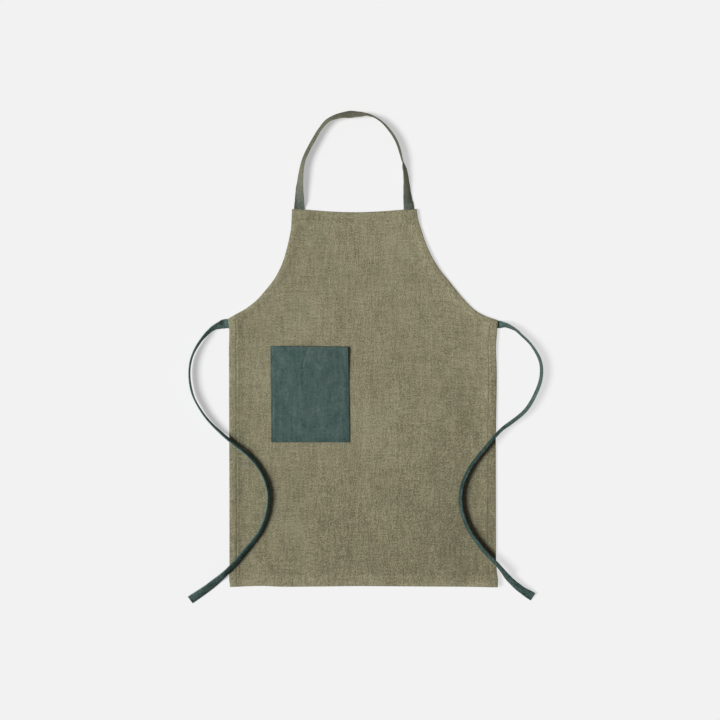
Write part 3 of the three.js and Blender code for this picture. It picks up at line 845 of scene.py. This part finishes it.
# Pocket
# A patch of washed teal canvas on the left of the body. Its edges are turned in and sewn down
# on three sides, and the mouth along its top has a wider hem and stands a little open.
POCKET_WIDTH = 125
POCKET_DEPTH = 154.5
POCKET_FROM_SIDE = 66
POCKET_BELOW_WAIST = 44
POCKET_FLARE = 0.012
POCKET_SKEW = 0.01
POCKET_CLOTH = 0.9
POCKET_LIFT = 0.6
POCKET_EASE = (3, 9)
POCKET_DENT = 0.85
POCKET_BACK_DENT = 0.7
POCKET_ROW_START = 1.5
MOUTH_ROW_START = 2

# Height of the bulge, and the powers of its sine across and of its cosine down
POCKET_GAPE = 5.5
POCKET_BELLY = (0.9, 1.2)
# Height of the raised corner, and its reach across and down
POCKET_CORNER = (3.2, 16, 70)
# Columns: height, reach from the stitching or the edge, size and seed
POCKET_PUCKER = (0.35, 4, 7.5, 11)
POCKET_WAVE = (0.7, 25, 38, 12)
# Columns: width of the turned layer, distance from the fold to the stitching, depth of its dent
POCKET_SEAM = (8.0, 2.7, 0.4)
POCKET_MOUTH = (20.0, 18.6, 0.22)
# Columns: place across and down of the crease that runs in from the mouth
POCKET_CREASE = np.array([(0.483, 0.02), (0.452, 0.085), (0.425, 0.15), (0.404, 0.225)])
# Columns: distance from the crease, depth and half width of its dent and of the ridge beside it
CREASE_FORM = [(0, 1.3, 1.3), (3, -0.2, 1.6)]


def pocket_place(along, down):
    """X and Y of a place on the pocket, along its mouth and down from it: it widens a little
    towards its bottom, and its mouth and bottom lie slightly askew."""
    skew = POCKET_SKEW * POCKET_WIDTH
    share, across = down / POCKET_DEPTH, along / POCKET_WIDTH
    x = -BODY_WIDTH / 2 + POCKET_FROM_SIDE + along * (1 + POCKET_FLARE * share) + skew * share
    y = waist_y(-1) - POCKET_BELOW_WAIST - down - skew * across * (1 - share)
    return x, y


def pocket_surface(along, down):
    """Heights of the pocket's front and back over the panel under it: its cloth, the turned
    layer along each edge, the dents of seam and crease, a bulge that is a power of a sine
    across times one of a cosine down from the mouth, and the right corner, which is raised."""
    x, y = pocket_place(along, down)
    side = np.minimum(along, POCKET_WIDTH - along)
    foot = POCKET_DEPTH - down
    sewn = np.minimum(side, foot)
    raised, turned, dent = (np.zeros_like(x) for _ in range(3))
    for away, (width, line, depth) in ((sewn, POCKET_SEAM), (down, POCKET_MOUTH)):
        raised = np.maximum(raised, 1 - blend_in((away - width + POCKET_EASE[0]) / POCKET_EASE[1]))
        turned = np.maximum(turned, (away < width).astype(float))
        dent = np.maximum(dent, depth * bell(away - line, POCKET_DENT))
    size = np.array([POCKET_WIDTH, POCKET_DEPTH])
    crease = away_from(along, down, POCKET_CREASE * size)
    for beside, depth, width in CREASE_FORM:
        dent = dent + depth * bell(crease - beside, width)
    height, reach, grain, seed = POCKET_PUCKER
    pucker = height * bell(sewn - POCKET_SEAM[1], reach) * ripple(x, y, grain, seed)
    height, reach, grain, seed = POCKET_WAVE
    wave = height * ripple(x, y, grain, seed) * blend_in(sewn / reach)
    across = np.clip(along / POCKET_WIDTH, 0, 1)
    fall = np.cos(np.pi / 2 * np.clip(down / POCKET_DEPTH, 0, 1))
    bulge = np.sin(np.pi * across) ** POCKET_BELLY[0] * np.abs(fall) ** POCKET_BELLY[1]
    high, reach, long = POCKET_CORNER
    corner = high * (1 - blend_in((POCKET_WIDTH - along) / reach)) * (1 - blend_in(down / long))
    base = panel_top(x, y) + CLEAR * POCKET_LIFT + POCKET_GAPE * bulge + corner + wave + pucker
    front = base + POCKET_CLOTH * (1 + raised) - dent
    back = front + dent * POCKET_BACK_DENT - POCKET_CLOTH * (1 + turned)
    fold = np.minimum(sewn, down)
    closing = np.maximum(rounded(fold / POCKET_CLOTH), THIN_EDGE)
    middle, half = (front + back) / 2, (front - back) / 2 * closing
    seam = np.minimum(np.abs(sewn - POCKET_SEAM[1]), np.abs(down - POCKET_MOUTH[1]))
    return np.stack([x, y, middle + half], -1), np.stack([x, y, middle - half], -1), fold, seam


pocket_steps = np.array([0, 0.12, 0.4, 0.9, 1.6, 2.3, 3.0, 3.7, 4.5, 5.6, 7.0, 8.1, 9.4, 11])
pocket_along = np.concatenate(
    [
        pocket_steps,
        np.linspace(11, POCKET_WIDTH - 11, 62)[1:-1],
        POCKET_WIDTH - pocket_steps[::-1],
    ]
)
pocket_down = np.concatenate(
    [
        [0, 0.12, 0.4, 0.9, 2, 4, 6, 8, 10, 12, 14, 16, 17.2, 17.9, 18.6, 19.3, 20.1, 21.2],
        np.linspace(22.6, POCKET_DEPTH - 11, 74)[:-1],
        POCKET_DEPTH - pocket_steps[::-1],
    ]
)
along, down = np.meshgrid(pocket_along, pocket_down)
front, back, fold_away, seam_away = pocket_surface(along, down)
pocket_points, pocket_faces = closed_sheet(front, back)
pocket_cloth = add_piece(
    "pocket_cloth",
    pocket_points,
    pocket_faces[:, ::-1],
    {"fold": np.tile(fold_away.ravel(), 2), "seam": np.tile(seam_away.ravel(), 2)},
)
sewn = POCKET_SEAM[1]
far_side = POCKET_WIDTH - sewn
foot = POCKET_DEPTH - sewn
pocket_seams = [
    np.array([(sewn, POCKET_ROW_START), (sewn, foot)]),
    np.array([(sewn, foot), (far_side, foot)]),
    np.array([(far_side, foot), (far_side, POCKET_ROW_START)]),
    np.array([(x, POCKET_MOUTH[1]) for x in (sewn + MOUTH_ROW_START, far_side - MOUTH_ROW_START)]),
]
pocket_stitches = []
for line in pocket_seams:
    place, way = even_points(line, STITCH_PITCH)
    centres = pocket_surface(place[:, 0], place[:, 1])[0]
    ahead = pocket_surface(place[:, 0] + way[:, 0] * 0.1, place[:, 1] + way[:, 1] * 0.1)[0]
    normals = np.tile([0.0, 0.0, 1.0], (len(way), 1))
    pocket_stitches.append(stitches(centres, ahead - centres, normals))
pocket_stitching = add_piece("pocket_stitching", *joined(pocket_stitches))

teal, tree, shader = new_cloth("washed_teal", 0.12)
place = put(tree, "ShaderNodeTexCoord").outputs["Object"]
weave_height, thread_tone = woven(tree, place, 0.00075, 0.00083, 0.012)
fleck = mottle(tree, place, 330, (1.0, 0.8, 1.0))
streak = mottle(tree, place, 240, (1.0, 0.16, 1.0))
cloud = mottle(tree, place, 60, (1.0, 0.8, 1.0), 4)
split = put(tree, "ShaderNodeSeparateXYZ", {0: place})
# Painted shade: the pocket darker towards its right edge, away from the light
painted_shade_pocket_right = ramp(tree, split.outputs["X"], -0.037, -0.027)
# Painted shade: the pocket darker along its bottom hem, which faces away from the light
bottom_edge = ramp(tree, split.outputs["Y"], -0.061, -0.066)
light_share = weighted(
    tree,
    0.5,
    (thread_tone, 1.2),
    (fleck, 1.0),
    (streak, 0.7),
    (cloud, 0.9),
    (painted_shade_pocket_right, -0.16),
    (bottom_edge, -0.13),
    (near_line(tree, "fold", 1.6), -0.25),
    (near_line(tree, "seam", 1.5), -0.2),
    (near_line(tree, "seam", 5.0), 0.1),
)
colour = mixed(tree, light_share, shade(50, 71, 67), shade(97, 114, 107))
grey_share = weighted(tree, 0.4, (cloud, 1.6))
colour = mixed(tree, grey_share, tinted(tree, colour, 0.9, 1.03, 1.06), colour)
rough = weighted(tree, 0.86, (fleck, 0.25))
relief = weighted(tree, 0.0, (weave_height, 1.0), (fleck, 1.0), (cloud, 0.8))
finished(tree, shader, colour, rough, relief, 0.00026)
pocket_cloth.data.materials.append(teal)
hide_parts("pocket")

teal_thread = sewing_thread("teal_thread", shade(60, 82, 77), shade(96, 118, 111))
pocket_stitching.data.materials.append(teal_thread)

# Neck strap
# A tape of folded cloth, stitched along both edges. Its ends are sewn behind the bib's corners,
# and between them it stands on its outer edge in a wide arch, lying back flat near its ends.
NECK_RISE = 152.5
TAPE_STEPS = np.array([0, 0.07, 0.25, 0.55, 0.9, 1.4, 1.8, 2.2, 2.6, 3.1, 4.0, 5.2])
TAPE_SEAM = 2.2
TAPE_ROW = 2.0
TAPE_SWELL = 0.1
TAPE_BOW = 0.13
BOW_MIDDLE = 0.4
END_CLOSING = 0.05

# Depth and half width of the dent along a tape's seam
TAPE_DENT = (0.24, 0.5)
# Leans in degrees between which the bow fades
BOW_FADE = (75, 95)
# Start and end of each part of a tape that gets painted light, as shares of its width: the raised edge
# and the raised half, where a tone paints a highlight, and the lower edge, where it paints shade
LIT_AND_SHADED_TAPE_PARTS = ((0.8, 0.97), (0.35, 0.85), (0.3, 0.08))

# Columns: shares of the span and of the rise, and how far the tape is turned up, in degrees
NECK_ROUTE = np.array(
    [
        (-0.5, 0.01, 2),
        (-0.5, 0.045, 16),
        (-0.5, 0.096, 30),
        (-0.501, 0.201, 45),
        (-0.495, 0.306, 59),
        (-0.485, 0.412, 68),
        (-0.464, 0.517, 73),
        (-0.424, 0.622, 73),
        (-0.374, 0.727, 72),
        (-0.319, 0.833, 76),
        (-0.24, 0.935, 70),
        (-0.13, 0.985, 59),
        (-0.039, 0.996, 45),
        (0.052, 0.999, 60),
        (0.125, 0.991, 80),
        (0.23, 0.933, 90),
        (0.318, 0.83, 95),
        (0.377, 0.727, 97),
        (0.412, 0.622, 97),
        (0.436, 0.517, 93),
        (0.465, 0.412, 68),
        (0.477, 0.306, 60),
        (0.482, 0.201, 48),
        (0.489, 0.096, 32),
        (0.495, 0.05, 14),
        (0.498, 0.012, 2),
    ]
)


def through_points(stations, step):
    """Rows at even steps along a smooth curve through points, with their other columns carried
    along. Between two points the curve blends the straight lines through its neighbours, with
    the square roots of the distances between points as its measure."""
    points = stations[:, :2]
    first, last = 2 * points[:1] - points[1:2], 2 * points[-1:] - points[-2:-1]
    padded = np.vstack([first, points, last])
    gap = np.sqrt(np.linalg.norm(np.diff(padded, axis=0), axis=1))
    share = np.linspace(0, 1, 40, endpoint=False)[:, None]
    parts = []
    for i in range(len(points) - 1):
        p0, p1, p2, p3 = padded[i : i + 4]
        a, b, c = gap[i : i + 3]
        leave = ((p1 - p0) / a - (p2 - p0) / (a + b) + (p2 - p1) / b) * b
        reach = ((p2 - p1) / b - (p3 - p1) / (b + c) + (p3 - p2) / c) * b
        curve = p1 + share * leave + share**2 * (3 * (p2 - p1) - 2 * leave - reach)
        curve = curve + share**3 * (2 * (p1 - p2) + leave + reach)
        kept = stations[i, 2:] + blend_in(share) * (stations[i + 1, 2:] - stations[i, 2:])
        parts.append(np.hstack([curve, kept]))
    line = np.vstack(parts + [stations[-1:]])
    gone = gone_along(line[:, :2])
    at = np.linspace(0, gone[-1], int(gone[-1] / step) + 1)
    return read_at(at, gone, line), at


def tape_frame(route, raised, width, rest, bend):
    """Middle, directions across and out of the face, and bow of a tape that leans. Across turns
    from level to upright with the lean. The bow grows as the square of the lean's sine, times
    bend, and fades where the tape is nearly upright. The middle stands half the leaning tape's
    height above what it rests on. raised is 1 where the right edge rises, looking along it."""
    way = unit(np.gradient(route[:, :2], axis=0))
    lean = np.radians(route[:, 2])[:, None]
    level = np.column_stack([way[:, 1], -way[:, 0], np.zeros(len(way))]) * raised
    up = np.array([0.0, 0.0, 1.0])
    across = level * np.cos(lean) + up * np.sin(lean)
    face = up * np.cos(lean) - level * np.sin(lean)
    bow = TAPE_BOW * width * bend * np.sin(lean[:, 0]) ** 2
    bow = bow * (1 - blend_in((route[:, 2] - BOW_FADE[0]) / (BOW_FADE[1] - BOW_FADE[0])))
    high = rest + (width * np.sin(lean) + TAPE * np.abs(np.cos(lean)))[:, 0] / 2
    high = high + bow * (1 - BOW_MIDDLE) * np.maximum(np.cos(lean[:, 0]), 0)
    return np.column_stack([route[:, :2], high]), across, face, bow


def bowed(bow, over, half):
    """How far a place across the tape stands off its flat form, against the way that it faces:
    the bow times the square of the share of the way from the middle to an edge."""
    return -bow * ((over / half) ** 2 - BOW_MIDDLE)


def tape_thickness(from_edge, width):
    """Half the tape's thickness at a distance from its edge: a half circle at the edge, a dent
    at the seam and a slight swell between the two seams."""
    round_edge = rounded(from_edge / (TAPE / 2))
    dent = TAPE_DENT[0] * bell(from_edge - TAPE_SEAM, TAPE_DENT[1])
    swell = TAPE_SWELL * blend_in((from_edge - TAPE_SEAM) / (width / 2 - TAPE_SEAM))
    return (TAPE / 2 - TAPE_SWELL - dent) * round_edge + swell


def tape(name, middle, across, face, bow, at, width, free_end):
    """A tape as a closed loop carried along its middle. The loop goes over the front and back
    under it, and at a free end it closes as a half circle does."""
    half = width / 2
    inner = np.linspace(TAPE_STEPS[-1], half, 4)[1:]
    steps = np.concatenate([TAPE_STEPS, inner])
    over = np.concatenate([steps - half, (half - steps)[::-1][1:]])
    thick = tape_thickness(half - np.abs(over), width)
    loop = np.concatenate([over, over[-2:0:-1]])
    high = np.concatenate([thick, -thick[-2:0:-1]])
    closing = np.ones(len(at))
    if free_end:
        closing = np.maximum(rounded((at[-1] - at) / (TAPE / 2)), END_CLOSING)
    points = middle[:, None] + across[:, None] * loop[None, :, None]
    off = high[None] * closing[:, None] + bowed(bow[:, None], loop[None], half)
    points = points + face[:, None] * off[..., None]
    stations, sides = points.shape[:2]
    index = np.arange(stations * sides).reshape(stations, sides)
    onward = np.roll(index, -1, axis=1)
    walls = np.stack([index[:-1], index[1:], onward[1:], onward[:-1]], -1).reshape(-1, 4)
    faces = walls.tolist() + [index[0].tolist(), index[-1, ::-1].tolist()]
    away = np.tile(half - np.abs(loop), stations)
    coordinates = np.stack(np.broadcast_arrays((loop + half)[None], at[:, None]), -1)
    return add_piece(
        name,
        points.reshape(-1, 3),
        faces,
        {"fold": away, "seam": np.abs(away - TAPE_SEAM)},
        coordinates.reshape(-1, 2) * MM,
    )


def tape_stitching(name, middle, across, face, bow, at, width, bare):
    """Rows of stitches along both edges of a tape, on its front and on its back, but for a bare
    length at its start and one at its end."""
    parts = []
    for edge in (-1, 1):
        for side in (-1, 1):
            place = edge * (width / 2 - TAPE_SEAM)
            deep = side * tape_thickness(np.array(TAPE_SEAM), width)
            deep = deep + bowed(bow, place, width / 2)
            line = middle + across * place + face * deep[:, None]
            rows = np.hstack([line, face * side])[(at > bare[0]) & (at < at[-1] - bare[1])]
            gone = gone_along(rows[:, :3])
            number = int(gone[-1] / STITCH_PITCH)
            here = (np.arange(number) + 0.5) * gone[-1] / number
            read = read_at(here, gone, rows)
            ways = read_at(here + 1, gone, rows[:, :3]) - read_at(here - 1, gone, rows[:, :3])
            parts.append(stitches(read[:, :3], ways, read[:, 3:]))
    return add_piece(name, *joined(parts))


def neck_x(side):
    return BIB_SHIFT + side * (BIB_WIDTH / 2 - NECK_INSET - NECK_WIDTH / 2)


span = neck_x(1) - neck_x(-1)
free = np.column_stack(
    [
        (neck_x(1) + neck_x(-1)) / 2 + NECK_ROUTE[:, 0] * span,
        TOP + NECK_ROUTE[:, 1] * NECK_RISE,
        NECK_ROUTE[:, 2],
    ]
)
sewn_ends = [(neck_x(side), TOP - NECK_TUCK, 0) for side in (-1, 1)]
route, neck_at = through_points(np.vstack([sewn_ends[0], free, sewn_ends[1]]), TAPE_ROW)
neck_form = tape_frame(route, 1, NECK_WIDTH, 0, 1)
neck_tape = tape("neck_tape", *neck_form, neck_at, NECK_WIDTH, False)
neck_stitching = tape_stitching("neck_tape_stitching", *neck_form, neck_at, NECK_WIDTH, (1, 1))


def tape_cloth(name, dark, light, width, tones, stretches, ends=()):
    """Folded tape: threads along and across it, with a painted highlight or painted shade added by
    tones on its raised edge, raised half and lower edge. Each row of stretches adds a tone from a
    place on: where it starts, where it is whole, and its share.
    ends is the dark and the light shade near both ends, their reach and the tape's length."""
    material, tree, shader = new_cloth(name, 0.02)
    shader.inputs["Specular IOR Level"].default_value = 0.1
    place = put(tree, "ShaderNodeUVMap", uv_map="cloth_uv").outputs["UV"]
    split = put(tree, "ShaderNodeSeparateXYZ", {0: place})
    across, far = split.outputs["X"], split.outputs["Y"]
    weave_height, thread_tone = woven(tree, place, 0.0007, 0.0008, 0.012)
    fleck = mottle(tree, place, 380, (1.0, 0.7, 1.0))
    cloud = mottle(tree, place, 50, (1.0, 0.7, 1.0), 3)
    terms = [(thread_tone, 1.2), (fleck, 1.1), (cloud, 1.0)]
    # Painted highlight and painted shade on the raised edge, raised half and lower edge
    for (start, end), tone in zip(LIT_AND_SHADED_TAPE_PARTS, tones):
        terms.append((ramp(tree, across, start * width * MM, end * width * MM), tone))
    terms.append((near_line(tree, "seam", 1.0), -0.2))
    for start, end, tone in stretches:
        terms.append((ramp(tree, far, start, end), tone))
    light_share = weighted(tree, 0.5, *terms)
    colour = mixed(tree, light_share, dark, light)
    if ends:
        end_dark, end_light, reach, length = ends
        from_middle = calc(tree, "ABSOLUTE", calc(tree, "SUBTRACT", far, length / 2))
        near_end = ramp(tree, from_middle, length / 2 - reach, length / 2)
        colour = mixed(tree, near_end, colour, mixed(tree, light_share, end_dark, end_light))
    rough = weighted(tree, 0.82, (fleck, 0.25))
    relief = weighted(tree, 0.0, (weave_height, 1.0), (fleck, 1.0))
    finished(tree, shader, colour, rough, relief, 0.00024)
    return material


olive_tape = tape_cloth(
    "olive_tape",
    shade(74, 74, 60),
    shade(136, 136, 117),
    NECK_WIDTH,
    # Painted highlight on the raised edge and half, painted shade on the lower edge
    (0.1, 0.1, -0.4),
    # Painted light and shade along the strap: lighter and darker stretches where its face turns
    # towards or away from the light
    [
        (0.0, 0.01, -0.1),
        (0.02, 0.06, 0.27),
        (0.075, 0.105, -0.4),
        (0.16, 0.19, 0.12),
        (0.235, 0.26, -0.35),
        (0.33, 0.35, 1.1),
        (0.374, 0.394, -0.7),
    ],
    (shade(60, 70, 64), shade(116, 127, 117), 0.08, float(neck_at[-1]) * MM),
)
neck_tape.data.materials.append(olive_tape)
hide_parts("neck_strap")
neck_stitching.data.materials.append(khaki_thread)

# Waist ties
# Two tapes of folded teal cloth with turned ends, sewn behind the side hems at the waist. Each
# bows out on the floor and comes back over the panel, standing on its lower edge.
TIE_LENGTH = 568
TIE_BRIDGE = 4
TIE_BERTH = 9
GATHER_START = 3
GATHER_REACH = 16

# Distances from a tie's free end of the rows that round it
END_ROWS = np.array([0.06, 0.2, 0.45, 0.8])
# Columns: outward and downward shares of the length, lean in degrees, 1 over the panel, and the
# share of TIE_BRIDGE that the lower edge stands off what lies below it
LEFT_TIE_ROUTE = np.array(
    [
        (0.01, 0.0, 0, 0, 0),
        (0.026, 0.005, 42, 0, 0),
        (0.039, 0.01, 60, 0, 0.1),
        (0.054, 0.021, 70, 0, 0.4),
        (0.081, 0.052, 79, 0, 1),
        (0.103, 0.094, 84, 0, 1),
        (0.11, 0.135, 85, 0, 1),
        (0.106, 0.18, 84, 0, 1),
        (0.094, 0.216, 86, 0, 1),
        (0.0565, 0.272, 84, 1, 0.7),
        (-0.004, 0.328, 77, 1, 0),
        (-0.059, 0.372, 72, 1, 0),
        (-0.094, 0.416, 71, 1, 0),
        (-0.114, 0.47, 70, 1, 0),
        (-0.113, 0.52, 70, 1, 0),
        (-0.0925, 0.583, 64, 1, 0),
        (-0.0515, 0.639, 57, 1, 0),
        (-0.002, 0.695, 55, 1, 0),
        (0.052, 0.741, 37, 1, 0),
        (0.1085, 0.78, 27, 1, 0),
    ]
)
RIGHT_TIE_ROUTE = np.array(
    [
        (0.007, 0.0, 0, 0, 0),
        (0.015, 0.0, 48, 0, 0),
        (0.024, 0.0, 63, 0, 0),
        (0.037, 0.005, 73, 0, 0.2),
        (0.052, 0.0135, 80, 0, 0.45),
        (0.066, 0.0265, 82, 0, 0.7),
        (0.093, 0.0535, 82, 0, 1),
        (0.119, 0.099, 78, 0, 1),
        (0.1225, 0.14, 76, 0, 1),
        (0.111, 0.182, 74, 0, 1),
        (0.078, 0.239, 73, 0, 0.9),
        (0.014, 0.291, 72, 1, 0.1),
        (-0.0355, 0.346, 71, 1, 0),
        (-0.0825, 0.409, 73, 1, 0),
        (-0.104, 0.465, 68, 1, 0),
        (-0.104, 0.521, 68, 1, 0),
        (-0.0835, 0.578, 68, 1, 0),
        (-0.044, 0.634, 65, 1, 0),
        (0.0, 0.68, 59, 1, 0),
        (0.0355, 0.719, 51, 1, 0),
        (0.064, 0.7435, 40, 1, 0),
        (0.1, 0.766, 18, 1, 0),
    ]
)

# Columns: where a change of tone along a tie starts, where it is whole, in metres, and its share
LEFT_TIE_TONES = [(0, 0.01, 0.15), (0.2, 0.28, -0.25), (0.41, 0.46, -0.35), (0.5, 0.54, 0.2)]
RIGHT_TIE_TONES = [(0, 0.04, -0.06), (0.17, 0.26, -0.26)]


def rest_on(x, y, reach):
    """Lowest height at which a tape clears the panel: the highest front of the panel at a place
    and at eight places round it, and the clearance, or 0 on the floor."""
    turns = np.arange(8) * np.pi / 4
    near_x = np.column_stack([x, x[:, None] + reach[:, None] * np.cos(turns)])
    near_y = np.column_stack([y, y[:, None] + reach[:, None] * np.sin(turns)])
    highest = panel_top(near_x, near_y).max(1)
    return np.where(highest > 0, highest + CLEAR, 0)


for name, table, side, gather, tones, stretches in (
    # tones: painted highlight on the raised edge and half, painted shade on the lower edge
    ("left", LEFT_TIE_ROUTE, -1, 0, (0.4, 0.1, -0.1), LEFT_TIE_TONES),
    ("right", RIGHT_TIE_ROUTE, 1, 0.22, (0, 0, -0.1), RIGHT_TIE_TONES),
):
    start_y = waist_y(side) - TIE_DROP - TIE_WIDTH / 2
    start_x = float(edge_x(np.array(start_y), side))
    free = np.column_stack(
        [
            start_x + side * table[:, 0] * TIE_LENGTH,
            start_y - table[:, 1] * TIE_LENGTH,
            table[:, 2:],
        ]
    )
    sewn_end = (start_x - side * TIE_TUCK, start_y, 0, 0, 0)
    route, _ = through_points(np.vstack([sewn_end, free]), TAPE_ROW)
    x, y, lean, on_panel, held = route.T
    gathered = gather * (1 - blend_in((side * (x - start_x) - GATHER_START) / GATHER_REACH))
    y = y + gathered * TIE_WIDTH / 2
    half = (TIE_WIDTH * np.cos(np.radians(lean)) + TAPE * np.sin(np.radians(lean))) / 2
    rest = np.where(on_panel > 0.5, rest_on(x, y, half + TIE_BERTH), 0) + held * TIE_BRIDGE
    rest = np.convolve(np.pad(rest, 2, mode="edge"), np.ones(5) / 5, mode="valid")
    route = np.column_stack([x, y, lean, on_panel, gathered, rest])
    gone = gone_along(route[:, :2])
    tie_at = np.sort(np.concatenate([gone, gone[-1] - END_ROWS]))
    route = read_at(tie_at, gone, route)
    on_panel, gathered, rest = route[:, 3:].T
    middle, across, face, bow = tape_frame(route, -side, TIE_WIDTH, rest, on_panel)
    tie_form = (middle, across * (1 - gathered[:, None]), face, bow)
    tie_tape = tape("tie_tape_" + name, *tie_form, tie_at, TIE_WIDTH, True)
    tie_stitching = tape_stitching(
        "tie_stitching_" + name, *tie_form, tie_at, TIE_WIDTH, (1, 2)
    )
    teal_tape = tape_cloth(
        "teal_tape_" + name,
        shade(38, 58, 55),
        shade(108, 133, 126),
        TIE_WIDTH,
        tones,
        stretches,
    )
    tie_tape.data.materials.append(teal_tape)
    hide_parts("waist_tie_" + name)
    tie_stitching.data.materials.append(teal_thread)

low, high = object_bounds()
